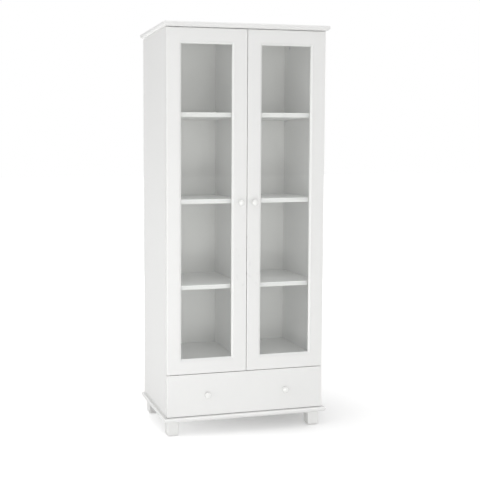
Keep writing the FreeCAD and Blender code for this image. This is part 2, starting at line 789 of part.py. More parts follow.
half_front = half_case - cell.door_reveal
runner_low = base_top + cell.runner_rise
box_low = runner_low + cell.drawer_seat_height
box_high = box_low + cell.drawer_side_height
half_box = half_inside - cell.runner_space
half_box_inside = half_box - cell.drawer_wall
box_rear = door_back + cell.drawer_length
groove_low = box_low + cell.drawer_groove_height
groove_high = groove_low + cell.drawer_bottom_thickness
half_groove = half_box_inside + cell.drawer_groove_depth
groove = box(
    "drawer_groove", (-half_groove, half_groove),
    (door_back - cell.drawer_groove_depth, box_rear + cell.overrun), (groove_low, groove_high),
)

front_height = (front_low, front_high)
front_board = board("drawer_front", (-half_front, half_front), (door_front, door_back), front_height)
round_edges(front_board, cell.front_edge_radius, "front", ("left", "right", "top", "bottom"))
piece("drawer_front", cut("drawer_front_grooved", front_board, [groove]))
for hand, side in SIDES.items():
    name = f"drawer_{hand}_side"
    wall_x = (side * half_box_inside, side * half_box)
    wall = box(name + "_blank", wall_x, (door_back, box_rear), (box_low, box_high))
    piece(name, cut(name + "_grooved", wall, [groove]))
    middle = side * (half_box_inside + cell.drawer_wall / 2)
    fixing_heights = {
        "low": groove_high + cell.drawer_dowel_inset,
        "high": box_high - cell.drawer_dowel_inset,
    }
    for end, height in fixing_heights.items():
        dowel_name = f"{name}_dowel_{end}"
        dowel_y = (door_back - cell.drawer_dowel_half, door_back + cell.drawer_dowel_half)
        entered = ["drawer_front", name]
        dowel = fitted_rod(dowel_name, cell.drawer_dowel_radius, "y", dowel_y, entered, x=middle, z=height)
        piece(dowel_name, dowel, "drawer_dowels")
        tag = f"{name}_screw_{end}"
        at = {"y": box_rear - cell.drawer_wall / 2, "z": height}
        seat = side * (half_box - cell.drawer_screw_head_height)
        entered = [name, "drawer_back"]
        fixing = screw(tag, "drawer_screw", "x", seat, cell.drawer_screw_length, -side, entered, **at)
        piece(tag, fixing, "drawer_screws")
        drill([name], cell.drawer_screw_head_radius, "x", (seat, side * half_box), **at)
    knob_x = side * cell.drawer_knob_spacing / 2
    middle_height = (front_low + front_high) / 2
    knob(f"drawer_{hand}_knob", knob_x, middle_height, "drawer_front", "drawer_knobs", "drawer_screws")
rear_wall_y = (box_rear - cell.drawer_wall, box_rear)
rear_wall_x = (-half_box_inside, half_box_inside)
piece("drawer_back", box("drawer_back_blank", rear_wall_x, rear_wall_y, (groove_high, box_high)))
slack = cell.drawer_bottom_clearance
piece("drawer_bottom", box(
    "drawer_bottom_sheet", (slack - half_groove, half_groove - slack),
    (door_back - cell.drawer_groove_depth + slack, box_rear), (groove_low, groove_high),
))

# Runners: folded sheet rails, with a front roller on the case and a rear roller on the drawer

tread = runner_low + cell.tread_height
tread_top = tread + cell.runner_sheet
rail_y = (case_front + cell.runner_setback, case_front + cell.runner_setback + cell.runner_length)
front_axle_y = case_front + cell.roller_setback
rear_axle_y = rail_y[1] - cell.roller_setback
front_axle_z = tread - cell.roller_gap - cell.roller_radius
rear_axle_z = runner_low + cell.runner_sheet + cell.roller_gap + cell.roller_radius
for hand, side in SIDES.items():
    def inward(distance):
        return side * (half_inside - distance)

    name = f"{hand}_cabinet_runner"
    ledge_low = (runner_low, runner_low + cell.runner_sheet)
    lip_top = (runner_low + cell.runner_height - cell.runner_sheet, runner_low + cell.runner_height)
    runner = profile(name, [
        (inward(ZERO), ledge_low[0]), (inward(cell.runner_ledge), ledge_low[0]),
        (inward(cell.runner_ledge), ledge_low[1]), (inward(cell.runner_sheet), ledge_low[1]),
        (inward(cell.runner_sheet), lip_top[0]), (inward(cell.runner_ledge), lip_top[0]),
        (inward(cell.runner_ledge), lip_top[1]), (inward(ZERO), lip_top[1]),
    ], rail_y)
    axle_x = (inward(cell.runner_sheet), inward(cell.roller_inset + cell.roller_width + cell.axle_end))
    axle = rod(name + "_axle", cell.axle_radius, "x", axle_x, y=front_axle_y, z=front_axle_z)
    piece(name, joined(name + "_with_axle", [runner, axle]))
    screw_rows = (
        rail_y[0] + cell.runner_screw_inset,
        (rail_y[0] + rail_y[1]) / 2,
        rail_y[1] - cell.runner_screw_inset,
    )
    for number, y_screw in enumerate(screw_rows):
        tag = f"{name}_screw_{number}"
        at = {"y": y_screw, "z": runner_low + cell.runner_height / 2}
        length = cell.runner_sheet + cell.euro_screw_bite
        entered = [name, f"{hand}_side_panel"]
        seat = inward(cell.runner_sheet)
        fixing = screw(tag, "euro_screw", "x", seat, length, side, entered, **at)
        piece(tag, fixing, "carcass_screws")

    wall_face = cell.runner_space
    web_face = wall_face - cell.runner_sheet
    name = f"{hand}_drawer_runner"
    under = (box_low - cell.runner_sheet, box_low)
    runner = profile(name, [
        (inward(cell.tread_inset), tread), (inward(web_face), tread),
        (inward(web_face), under[0]), (inward(wall_face + cell.drawer_foot_width), under[0]),
        (inward(wall_face + cell.drawer_foot_width), under[1]), (inward(wall_face), under[1]),
        (inward(wall_face), tread_top), (inward(cell.tread_inset), tread_top),
    ], (door_back + cell.overrun, rail_y[1]))
    axle_x = (inward(cell.roller_inset), inward(web_face))
    axle = rod(name + "_axle", cell.axle_radius, "x", axle_x, y=rear_axle_y, z=rear_axle_z)
    piece(name, joined(name + "_with_axle", [runner, axle]), "drawer_runners")

    for node, y_axle, z_axle in (
        ("cabinet_rollers", front_axle_y, front_axle_z), ("drawer_rollers", rear_axle_y, rear_axle_z),
    ):
        near = cell.roller_inset
        far = cell.roller_inset + cell.roller_width
        tyre_x = (inward(near), inward(far))
        tyre = rod(f"{hand}_{node}_tyre", cell.roller_radius, "x", tyre_x, y=y_axle, z=z_axle)
        bore_x = (inward(near - cell.overrun), inward(far + cell.overrun))
        bore_radius = cell.axle_radius + cell.axle_clearance
        bore = rod(f"{hand}_{node}_bore", bore_radius, "x", bore_x, y=y_axle, z=z_axle)
        piece(f"{hand}_{node}", cut(f"{hand}_{node}_bored", tyre, [bore]), node)

# Each piece gets its drilled holes, and each node its solids and its name

nodes = {}
for name, solid in pieces.items():
    if name in holes_in:
        solid.Label = name + "_undrilled"
        solid = cut(name + "_drilled", solid, holes_in[name])
    nodes.setdefault(node_of[name], []).append(solid)
finished = []
for label, solids in nodes.items():
    node = solids[0]
    if len(solids) > 1:
        node = doc.addObject("Part::Compound", label + "_set")
        node.Links = solids
    for other in doc.getObjectsByLabel(label):
        other.Label = label + "_blank"
    node.Label = label
    finished.append(node)
doc.recompute()

faults = [item.Label for item in doc.Objects if "Invalid" in item.State or "Error" in item.State]
for node in finished:
    if node.Shape.isNull() or not node.Shape.isValid() or not node.Shape.Solids:
        faults.append(node.Label)
if faults:
    raise RuntimeError("These objects did not build: " + ", ".join(faults))

os.makedirs("parts", exist_ok=True)
for node in finished:
    node.Shape.exportStep(f"parts/{node.Label}.step")
print(len(finished), "nodes,", sum(len(node.Shape.Solids) for node in finished), "solids")
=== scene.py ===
import json
import math

import bmesh
import bpy
import numpy as np
from mathutils import Matrix, Vector


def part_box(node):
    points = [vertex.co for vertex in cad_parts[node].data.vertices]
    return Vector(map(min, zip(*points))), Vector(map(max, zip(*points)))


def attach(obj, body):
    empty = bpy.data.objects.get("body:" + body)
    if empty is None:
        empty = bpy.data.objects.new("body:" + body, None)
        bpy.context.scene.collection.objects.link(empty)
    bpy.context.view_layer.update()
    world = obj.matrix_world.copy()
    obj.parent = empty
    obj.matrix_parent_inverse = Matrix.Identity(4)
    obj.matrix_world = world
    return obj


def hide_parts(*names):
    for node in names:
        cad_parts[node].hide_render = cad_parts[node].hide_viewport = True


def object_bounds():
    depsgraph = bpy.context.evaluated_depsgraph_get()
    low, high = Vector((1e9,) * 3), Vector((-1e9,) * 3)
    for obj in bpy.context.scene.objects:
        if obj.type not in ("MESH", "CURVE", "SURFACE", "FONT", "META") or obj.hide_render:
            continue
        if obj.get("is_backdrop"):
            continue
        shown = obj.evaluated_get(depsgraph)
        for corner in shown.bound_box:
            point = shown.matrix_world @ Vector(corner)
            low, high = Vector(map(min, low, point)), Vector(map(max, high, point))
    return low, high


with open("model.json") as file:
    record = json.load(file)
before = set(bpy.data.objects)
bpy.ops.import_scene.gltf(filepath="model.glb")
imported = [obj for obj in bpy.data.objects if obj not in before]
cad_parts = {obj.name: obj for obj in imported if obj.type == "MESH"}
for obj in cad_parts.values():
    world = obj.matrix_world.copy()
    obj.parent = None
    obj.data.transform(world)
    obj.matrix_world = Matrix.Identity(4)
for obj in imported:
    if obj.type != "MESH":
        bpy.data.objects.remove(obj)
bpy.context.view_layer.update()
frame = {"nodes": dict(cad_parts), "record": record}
scene = bpy.context.scene


# The photograph's camera
# It stands to the left of the cabinet at chest height and looks a little down at it. Its place,
# turn, lens and shift were fitted to the cabinet's edges in the picture, 480 pixels each way.

PICTURE = 480
FOCAL_PIXELS = 825.90
AXIS_ACROSS, AXIS_DOWN = 140.0, 213.59
EYE_PLACE = (-1.34724, -3.80577, 1.31559)
EYE_YAW, EYE_PITCH, EYE_ROLL = (math.radians(degrees) for degrees in (-13.122, -4.203, -0.244))
SENSOR_WIDTH = 36


def in_scene(name, data):
    made = bpy.data.objects.new(name, data)
    scene.collection.objects.link(made)
    return made


lens = bpy.data.cameras.new("photograph_camera")
lens.sensor_width = SENSOR_WIDTH
lens.lens = FOCAL_PIXELS / PICTURE * SENSOR_WIDTH
lens.shift_x = 0.5 - AXIS_ACROSS / PICTURE
lens.shift_y = AXIS_DOWN / PICTURE - 0.5
camera = in_scene("photograph_camera", lens)
camera.matrix_world = (
    Matrix.Translation(EYE_PLACE)
    @ Matrix.Rotation(EYE_YAW, 4, "Z")
    @ Matrix.Rotation(math.pi / 2 + EYE_PITCH, 4, "X")
    @ Matrix.Rotation(EYE_ROLL, 4, "Z")
)
scene.camera = camera


# The studio
# A pale floor that runs out to a white surround, and soft light from all round. Wide lamps stand to
# the left, in front, overhead, near the floor and behind, and a weak one stands in the opening of
# each compartment, because the photograph shows them evenly lit.


class Value:
    """A socket of a node tree, with the operators for sums on it."""

    def __init__(self, network, socket):
        self.network = network
        self.socket = socket

    def maths(self, operation, *values, clamp=False):
        sockets = dict(enumerate(values))
        return self.network.node("ShaderNodeMath", sockets, operation=operation, use_clamp=clamp)

    def __add__(self, other):
        return self.maths("ADD", self, other)

    def __sub__(self, other):
        return self.maths("SUBTRACT", self, other)

    def __rsub__(self, other):
        return self.maths("SUBTRACT", other, self)

    def __mul__(self, other):
        return self.maths("MULTIPLY", self, other)

    def __pow__(self, power):
        return self.maths("POWER", self, power)

    __radd__ = __add__
    __rmul__ = __mul__

    def within(self, low, high):
        """How far the value has come from low to high, held between 0 and 1."""
        return self.maths("MULTIPLY", self - low, 1 / (high - low), clamp=True)

    def swing(self, width):
        """How far a noise lies from its middle, one half, times a width."""
        return (self - 0.5) * width


class Network:
    """A node tree in the making. A node has a type, its sockets' values and its settings."""

    def __init__(self, tree):
        self.tree = tree
        self.place = None
        tree.nodes.clear()

    def node(self, kind, sockets, output=0, **settings):
        made = self.tree.nodes.new(kind)
        for name, setting in settings.items():
            setattr(made, name, setting)
        for name, value in sockets.items():
            if isinstance(value, Value):
                self.tree.links.new(value.socket, made.inputs[name])
            else:
                made.inputs[name].default_value = value
        return Value(self, made.outputs[output]) if made.outputs else None

    def noise(self, scale, detail):
        """Noise from 0 to 1 over the object. Its scale counts the patches to a metre."""
        sockets = {"Vector": self.place, "Scale": scale, "Detail": detail}
        return self.node("ShaderNodeTexNoise", sockets, "Fac")

    def blend(self, share, first, second):
        """A mix of two colours."""
        sockets = {0: share, 6: first, 7: second}
        return self.node("ShaderNodeMix", sockets, 2, data_type="RGBA")


def network_of(owner):
    owner.use_nodes = True
    return Network(owner.node_tree)


def seen(network):
    """1 for what the camera sees, straight or by way of metal and glass, and 0 for other light."""
    kinds = ("Is Camera Ray", "Is Glossy Ray", "Is Transmission Ray")
    rays = [network.node("ShaderNodeLightPath", {}, kind) for kind in kinds]
    return rays[0].maths("MAXIMUM", rays[0], rays[1].maths("MAXIMUM", rays[1], rays[2]))


WHITE = (1, 1, 1, 1)
ALL_ROUND = 0.62
FLOOR_REACH = 40.0
FLOOR_COLOUR = (0.92, 0.92, 0.91, 1)
FLOOR_SHADE = (0.95, 0.95, 0.95, 1)
# The floor that is seen glows a little, so that it runs out white, but less round a point beside
# the cabinet, which paints a darker shadow there
PAINTED_SHADOW_MIDDLE = (0.32, 0.02, 0)
NEAR_GLOW, FAR_GLOW = 0.16, 0.70
NEAR, FAR = 0.04, 1.3
# A lamp's place, the point that it lights, its width, its height and its power in watts
LAMPS = {
    "left_lamp": ((-4.4, -1.15, 0.6), (0, 0, 0.7), 2.0, 2.0, 41),
    "front_lamp": ((-0.25, -4.5, 1.15), (0, 0, 0.9), 2.0, 1.8, 26),
    "top_lamp": ((-0.4, -1.6, 4.2), (0, 0, 1.2), 2.6, 2.6, 16),
    "low_lamp": ((-0.7, -2.3, 0.18), (0, 0, 0.2), 1.6, 0.34, 8.5),
    "rear_lamp": ((0.4, 4.8, 1.0), (0, 0, 1.0), 2.4, 1.8, 26),
}
# The lower end, the upper end and the power of the lamps in each row of compartments
BAY_ROWS = (
    (0.345, 0.680, 0.065), (0.703, 1.079, 0.095), (1.102, 1.478, 0.125), (1.501, 1.86, 0.155),
)
BAY_CENTRE = 0.188
BAY_LAMP_WIDTH = 0.33
OPENING_PLANE = -0.178

world = bpy.data.worlds.new("surround")
scene.world = world
surround = network_of(world)
strength = surround.node("ShaderNodeMix", {0: seen(surround), 2: ALL_ROUND, 3: 1.0})
sky = surround.node("ShaderNodeBackground", {"Color": WHITE, "Strength": strength})
surround.node("ShaderNodeOutputWorld", {"Surface": sky})

floor_paint = bpy.data.materials.new("studio_floor")
ground = network_of(floor_paint)
plain = ground.node("ShaderNodeBsdfDiffuse", {"Color": FLOOR_COLOUR})
shaded = ground.node("ShaderNodeBsdfDiffuse", {"Color": FLOOR_SHADE})
spot = ground.node("ShaderNodeTexCoord", {}, "Object")
offset = ground.node("ShaderNodeVectorMath", {0: spot, 1: PAINTED_SHADOW_MIDDLE}, operation="SUBTRACT")
away = ground.node("ShaderNodeVectorMath", {0: offset}, "Value", operation="LENGTH")
glow_round_painted_shadow = away.within(NEAR, FAR) * (FAR_GLOW - NEAR_GLOW) + NEAR_GLOW
glow = ground.node("ShaderNodeEmission", {"Color": WHITE, "Strength": glow_round_painted_shadow})
shown = ground.node("ShaderNodeAddShader", {0: shaded, 1: glow})
either = ground.node("ShaderNodeMixShader", {0: seen(ground), 1: plain, 2: shown})
ground.node("ShaderNodeOutputMaterial", {"Surface": either})

floor_mesh = bpy.data.meshes.new("studio_floor")
corners = [(x * FLOOR_REACH, y * FLOOR_REACH, 0) for x, y in ((-1, -1), (1, -1), (1, 1), (-1, 1))]
floor_mesh.from_pydata(corners, [], [(0, 1, 2, 3)])
floor_mesh.materials.append(floor_paint)
studio_floor = in_scene("studio_floor", floor_mesh)
studio_floor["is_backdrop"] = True


def soft_lamp(name, place, aim, width, height, watts):
    light = bpy.data.lights.new(name, "AREA")
    light.shape = "RECTANGLE"
    light.size, light.size_y, light.energy = width, height, watts
    lamp = in_scene(name, light)
    lamp.location = place
    lamp.rotation_euler = (Vector(aim) - Vector(place)).to_track_quat("-Z", "Y").to_euler()
    lamp.visible_camera = False


for name, placing in LAMPS.items():
    soft_lamp(name, *placing)
for across in (-BAY_CENTRE, BAY_CENTRE):
    for low, high, watts in BAY_ROWS:
        level = (low + high) / 2
        place, aim = (across, OPENING_PLANE, level), (across, 0, level)
        soft_lamp("bay_lamp", place, aim, BAY_LAMP_WIDTH, high - low, watts)
scene.view_settings.view_transform = "Standard"


# Top panel and base panel
# Two wide boards of fibreboard, 22 mm thick, that overhang the case. The router has rounded their
# edges, more below than above, and they are sprayed with a satin white paint that shows a faint
# orange peel.

MM = 0.001
WELD = 0.002 * MM
FLAT_ANGLE, SHARP_ANGLE, CREASE_ANGLE = (math.radians(degrees) for degrees in (0.4, 50, 38))
ALONG_AXIS = 0.999
SQUARE_ON = 0.9995
LONG_EDGE, SHORT_EDGE = 4 * MM, 0.5 * MM
NARROW_FACE = 0.9 * MM
BOARD_EASE = 0.45 * MM
UPPER_ROUND, LOWER_ROUND, ROUND_SLACK = 4 * MM, 13 * MM, 0.2 * MM
PAINT_WHITE = (0.82, 0.82, 0.812)
WORN_CHANNELS = (0.93, 0.91, 0.87)
DUST_COLOUR = (0.52, 0.50, 0.46, 1)
DUST_HEIGHT = 30 * MM
bodies = frame["record"]["behaviour"]["bodies"]
body_of = {node: body for body, nodes in bodies.items() for node in nodes}


def finished_mesh(carrier):
    """The mesh that an object's modifiers make. The object goes."""
    depsgraph = bpy.context.evaluated_depsgraph_get()
    finished = bpy.data.meshes.new_from_object(carrier.evaluated_get(depsgraph))
    carrier.modifiers.clear()
    bpy.data.objects.remove(carrier)
    return finished


def shaded_smooth(mesh):
    """Shade a mesh smooth between its creases, its large faces flat to the eye."""
    mesh.polygons.foreach_set("use_smooth", [True] * len(mesh.polygons))
    mesh.set_sharp_from_angle(angle=CREASE_ANGLE)
    carrier = in_scene("carrier", mesh)
    weights = carrier.modifiers.new("weights", "WEIGHTED_NORMAL")
    weights.keep_sharp = True
    weights.weight = 100
    return finished_mesh(carrier)


def mesh_from(shape, name):
    mesh = bpy.data.meshes.new(name)
    shape.to_mesh(mesh)
    shape.free()
    return mesh


def welded(node):
    """A copy of a CAD node's solids, its triangles joined into whole flat faces."""
    shape = bmesh.new()
    shape.from_mesh(frame["nodes"][node].data)
    bmesh.ops.remove_doubles(shape, verts=shape.verts, dist=WELD)
    bmesh.ops.dissolve_limit(shape, angle_limit=FLAT_ANGLE, verts=shape.verts, edges=shape.edges)
    return shape


def sharp_corners(shape, shortest=LONG_EDGE, along=None):
    """The sharp outer edges that are long enough, perhaps only those along one axis."""
    found = []
    for edge in shape.edges:
        if edge.is_manifold and edge.is_convex and edge.calc_face_angle() > SHARP_ANGLE:
            run = edge.verts[1].co - edge.verts[0].co
            straight = along is None or abs(run.normalized()[along]) > ALONG_AXIS
            if run.length > shortest and straight:
                found.append(edge)
    return found


def rounded(shape, edges, radius, segments):
    made = bmesh.ops.bevel(
        shape, geom=edges, offset=radius, segments=segments, profile=0.5,
        affect="EDGES", clamp_overlap=True,
    )
    return made["faces"]


def eased(node, ease, rounding=None):
    """A CAD node's solids with their sharp outer corners eased, and the eased faces marked arris.
    A rounding, as an axis and a radius, first rounds the corners along that axis."""
    shape = welded(node)
    arris = shape.faces.layers.float.new("arris")
    if rounding:
        axis, radius = rounding
        rounded(shape, sharp_corners(shape, SHORT_EDGE, axis), radius, 4)
    made = rounded(shape, sharp_corners(shape), ease, 2)
    for face in shape.faces:
        width = face.calc_area() / max(edge.calc_length() for edge in face.edges)
        sloping = max(abs(part) for part in face.normal) < SQUARE_ON
        if sloping and width < NARROW_FACE:
            face[arris] = 1.0
    for face in made:
        face[arris] = 1.0
    return shaded_smooth(mesh_from(shape, node))


def set_out(name, mesh, node, finish):
    """Put a finished mesh in the scene as the piece that stands for a CAD node, on its body."""
    mesh.name = name
    mesh.materials.clear()
    mesh.materials.append(finish)
    piece = in_scene(name, mesh)
    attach(piece, body_of[node])
    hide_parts(node)


def begun(name):
    """A new material and its network, which knows each point's place on the object."""
    material = bpy.data.materials.new(name)
    network = network_of(material)
    network.place = network.node("ShaderNodeTexCoord", {}, "Object")
    return material, network


def marked(network, mark):
    """1 on the faces that carry a mark, such as arris, and 0 elsewhere."""
    return network.node("ShaderNodeAttribute", {}, "Fac", attribute_name=mark)


def tinted(colour, share, most=1):
    """A colour made darker or lighter, as the four channels of a socket."""
    return tuple(min(channel * share, most) for channel in colour) + (1,)


def relief(finish, height, depth):
    """The normal of a surface whose height runs from 0 to depth metres."""
    return finish.node("ShaderNodeBump", {"Height": height, "Distance": depth, "Strength": 1.0})


def principled(finish, **sockets):
    """End a material in one surface shader. Sockets are named with _ for each space."""
    named = {name.replace("_", " "): value for name, value in sockets.items()}
    surface = finish.node("ShaderNodeBsdfPrincipled", named)
    finish.node("ShaderNodeOutputMaterial", {"Surface": surface})


def sprayed_paint(name, colour, rough, peel_depth, floor_dust=0.0, coat=0.0):
    """Sprayed paint: a slow drift of shade, faint mottling, orange peel, and eased corners painted
    lighter as a painted highlight, rubbed in places."""
    material, paint = begun(name)
    drift = paint.noise(1.7, 3.0)
    mottle = paint.noise(34, 4.0)
    peel = paint.noise(290, 2.0)
    grit = paint.noise(1500, 1.0)
    arris = marked(paint, "arris")
    rubbed = arris * paint.noise(60, 3.0).within(0.56, 0.76)
    tone = drift.swing(0.7) + mottle.swing(0.25) + 0.5
    dark, light, painted_edge_highlight = tinted(colour, 0.965), tinted(colour, 1.02), tinted(colour, 1.14, 0.95)
    worn = tuple(channel * share for channel, share in zip(colour, WORN_CHANNELS)) + (1,)
    film = paint.blend(tone.within(0.15, 0.85), dark, light)
    # Eased corners are painted lighter: a painted highlight along every edge
    film = paint.blend(arris * 0.8, film, painted_edge_highlight)
    film = paint.blend(rubbed * 0.35, film, worn)
    if floor_dust:
        height = paint.node("ShaderNodeSeparateXYZ", {0: paint.place}, "Z")
        dust = (1 - height.within(0.0, DUST_HEIGHT)) * mottle.within(0.35, 0.75) * floor_dust
        film = paint.blend(dust, film, DUST_COLOUR)
    principled(
        paint,
        Base_Color=film,
        Roughness=mottle.swing(0.16) + drift.swing(0.12) + rough - rubbed * 0.06,
        Coat_Weight=coat,
        Coat_Roughness=0.07,
        Normal=relief(paint, peel * 0.8 + grit * 0.2, peel_depth),
    )
    return material


def truly_round(mesh, node):
    """Shade a panel's routed edges as true arcs, not as the facets that stand for them."""
    low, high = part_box(node)
    normals = [corner.vector.copy() for corner in mesh.corner_normals]
    for face in mesh.polygons:
        across = 0 if abs(face.normal.x) > abs(face.normal.y) else 1
        radius = UPPER_ROUND if face.normal.z > 0 else LOWER_ROUND
        outer = high[across] - radius if face.normal[across] > 0 else low[across] + radius
        centre = high[2] - radius if face.normal.z > 0 else low[2] + radius
        spokes = []
        for corner in face.vertices:
            spoke = Vector((0, 0, mesh.vertices[corner].co.z - centre))
            spoke[across] = mesh.vertices[corner].co[across] - outer
            spokes.append(spoke)
        if all(abs(spoke.length - radius) < ROUND_SLACK for spoke in spokes):
            for loop, spoke in zip(face.loop_indices, spokes):
                normals[loop] = spoke.normalized()
    mesh.normals_split_custom_set(normals)
    return mesh


board_paint = sprayed_paint("board_paint", PAINT_WHITE, rough=0.40, peel_depth=0.03 * MM)
for node in ("top_panel", "base_panel"):
    panel = truly_round(eased(node, BOARD_EASE), node)
    set_out(node + "_board", panel, node, board_paint)


# Sides, partition, deck and its front rail
# Fibreboard cut square, 18 mm thick, edges barely eased, drilled for fittings and shelf pins,
# rebated at the rear for the back sheet, and sprayed with the same paint. The deck parts the
# drawer from the display bays.

for node in (
    "left_side_panel", "right_side_panel", "centre_partition", "drawer_deck", "deck_rail",
):
    set_out(node + "_board", eased(node, BOARD_EASE), node, board_paint)


# Shelves
# Six loose boards, 20 mm thick, that lie on pins. Their front edges are rounded over by 1.5 mm,
# the others only eased, and they are painted on both faces.

HANDS = ("left", "right")

shelf_paint = sprayed_paint("shelf_paint", PAINT_WHITE, rough=0.38, peel_depth=0.03 * MM)
for hand in HANDS:
    for level in ("lower", "middle", "upper"):
        node = f"{hand}_{level}_shelf"
        set_out(node + "_board", eased(node, ease=0.4 * MM), node, shelf_paint)


# Back sheet
# A sheet of hardboard, 3 mm thick, white on its inner face and bare behind. It lies in the sides'
# rebates, and its pressed fibres show as a fine, slightly matt texture.

SHEET_EASE = 0.3 * MM
DARK_FIBRE, LIGHT_FIBRE = (0.27, 0.175, 0.10, 1), (0.42, 0.295, 0.185, 1)


def bare_but_one(mesh, painted):
    """Mark a sheet's faces as bare fibre, all but those that look the way of its painted side."""
    bare = mesh.attributes.new("bare", "FLOAT", "FACE")
    marks = [float(face.normal.dot(Vector(painted)) < 0.5) for face in mesh.polygons]
    bare.data.foreach_set("value", marks)
    return mesh


def pressed_sheet(name, colour, rough):
    """Hardboard: matt, with short felted fibres, brown where bare and white where painted."""
    material, sheet = begun(name)
    felt = sheet.noise(420, 5.0)
    cloud = sheet.noise(6, 3.0)
    tone = (felt.swing(0.5) + cloud.swing(0.8) + 0.5).within(0.1, 0.9)
    bare = marked(sheet, "bare")
    painted = sheet.blend(tone, tinted(colour, 0.95), tinted(colour, 1.03))
    principled(
        sheet,
        Base_Color=sheet.blend(bare, painted, sheet.blend(tone, DARK_FIBRE, LIGHT_FIBRE)),
        Roughness=felt.swing(0.2) + rough + bare * 0.15,
        Normal=relief(sheet, felt, depth=0.12 * MM),
    )
    return material


sheet_paint = pressed_sheet("sheet_paint", (0.79, 0.79, 0.775), rough=0.58)
back_sheet = bare_but_one(eased("back_panel", SHEET_EASE), painted=(0, -1, 0))
set_out("back_sheet", back_sheet, "back_panel", sheet_paint)


# Feet
# Four blocks of solid wood, 58 mm wide, that taper a little towards the floor. All their lower
# corners are well rounded, and they carry the cabinet's paint with some floor dust low down.

foot_paint = sprayed_paint(
    "foot_paint", PAINT_WHITE, rough=0.42, peel_depth=0.04 * MM, floor_dust=0.35
)
for row in ("front", "rear"):
    for hand in HANDS:
        node = f"{row}_{hand}_foot"
        foot = shaded_smooth(mesh_from(welded(node), node))
        set_out(node + "_block", foot, node, foot_paint)


# Door frames
# Two stiles and two rails a door, 22 mm thick, glued at the corners. A bevel runs round the opening
# and meets in mitres, and each member's outer edges are rounded over by 2 mm before the spraying.

frame_paint = sprayed_paint("frame_paint", PAINT_WHITE, rough=0.32, peel_depth=0.025 * MM)
for hand in HANDS:
    for member in ("hinge_stile", "meeting_stile", "top_rail", "bottom_rail"):
        node = f"{hand}_door_{member}"
        set_out(node + "_member", eased(node, 0.22 * MM), node, frame_paint)


# Panes and their beads
# A pane of clear float glass, 4 mm thick, lies in each door's rebate. Its edges are ground and look
# green from the side. Four painted beads hold it from behind.

CLEAR_TINT = (0.992, 0.995, 0.992, 1)
MIRROR_TINT, GROUND_TINT = (0.86, 0.88, 0.87, 1), (0.30, 0.52, 0.44, 1)
STRAIGHT_ON_MIRROR = 0.04


def clear_pane(name):
    """Float glass: mirrors more at a slant, dims what is behind it, and has green ground edges."""
    material, glass = begun(name)
    film = glass.noise(5, 4.0)
    slant = glass.node("ShaderNodeLayerWeight", {"Blend": 0.5}, "Facing")
    mirror_share = slant ** 5 * (1 - STRAIGHT_ON_MIRROR) + STRAIGHT_ON_MIRROR
    edge = marked(glass, "arris")
    through = glass.node("ShaderNodeBsdfTransparent", {"Color": CLEAR_TINT})
    surface = glass.node("ShaderNodeBsdfPrincipled", {
        "Base Color": glass.blend(edge, MIRROR_TINT, GROUND_TINT),
        "Roughness": film * 0.03 + 0.02 + edge * 0.3,
        "Metallic": 1 - edge,
    })
    share = (mirror_share + edge * 0.75 + film.swing(0.006)).within(0.0, 1.0)
    pane = glass.node("ShaderNodeMixShader", {0: share, 1: through, 2: surface})
    glass.node("ShaderNodeOutputMaterial", {"Surface": pane})
    return material


pane_glass = clear_pane("pane_glass")
for hand in HANDS:
    node = f"{hand}_door_glass"
    set_out(f"{hand}_door_pane", eased(node, ease=0.6 * MM), node, pane_glass)
    node += "_beads"
    set_out(node + "_strips", eased(node, ease=0.9 * MM), node, frame_paint)


# Knobs
# Turned from beech and dipped in a glossier white paint: a flattened round head, 30 mm across, on
# a neck that sweeps in from a small foot. A screw from behind the panel holds each one.

KNOB_HALF_HEAD = 9.5 * MM
KNOB_NECK_RADIUS, KNOB_FOOT_RADIUS = 6.9 * MM, 8.9 * MM
KNOB_FOOT_TOP, KNOB_FOOT_EDGE = 1.2 * MM, 0.8 * MM
HEAD_STEPS, HEAD_STEP_ANGLE = 22, math.radians(6.4)
NECK_STEPS = 12
# How quickly the neck narrows below the head, and the share of it where the foot starts to flare
NECK_HASTE, FLARE_START = 1.6, 0.55
END_SLACK = 0.05 * MM
HEAD_SHARE = 0.95
SETTING_SEED = 7


def turned(profile, sides, closed=False, wave=None):
    """A shape turned round Z through (radius, height) pairs. A zero radius ends it in a point."""
    shape = bmesh.new()
    rings = []
    for radius, height in profile:
        if radius == 0:
            rings.append([shape.verts.new((0, 0, height))] * sides)
            continue
        ring = []
        for number in range(sides):
            angle = 2 * math.pi * number / sides
            here = radius + (wave(angle, height) if wave else 0)
            ring.append(shape.verts.new((here * math.cos(angle), here * math.sin(angle), height)))
        rings.append(ring)
    pairs = zip(rings, rings[1:] + rings[:1]) if closed else zip(rings, rings[1:])
    for upper, lower in pairs:
        for number in range(sides):
            after = (number + 1) % sides
            loop = (upper[number], upper[after], lower[after], lower[number])
            shape.faces.new(list(dict.fromkeys(loop)))
    bmesh.ops.recalc_face_normals(shape, faces=shape.faces)
    return shape


def solids_of(node):
    """The solids of a CAD node, each as the array of its corners, always in the same order."""
    shape = welded(node)
    left = set(shape.verts)
    found = []
    while left:
        reach = [left.pop()]
        solid = []
        while reach:
            corner = reach.pop()
            solid.append(corner.co[:])
            for edge in corner.link_edges:
                other = edge.other_vert(corner)
                if other in left:
                    left.remove(other)
                    reach.append(other)
        found.append(np.array(solid))
    shape.free()
    return sorted(found, key=lambda solid: tuple((solid.min(0) + solid.max(0)).round(5)))


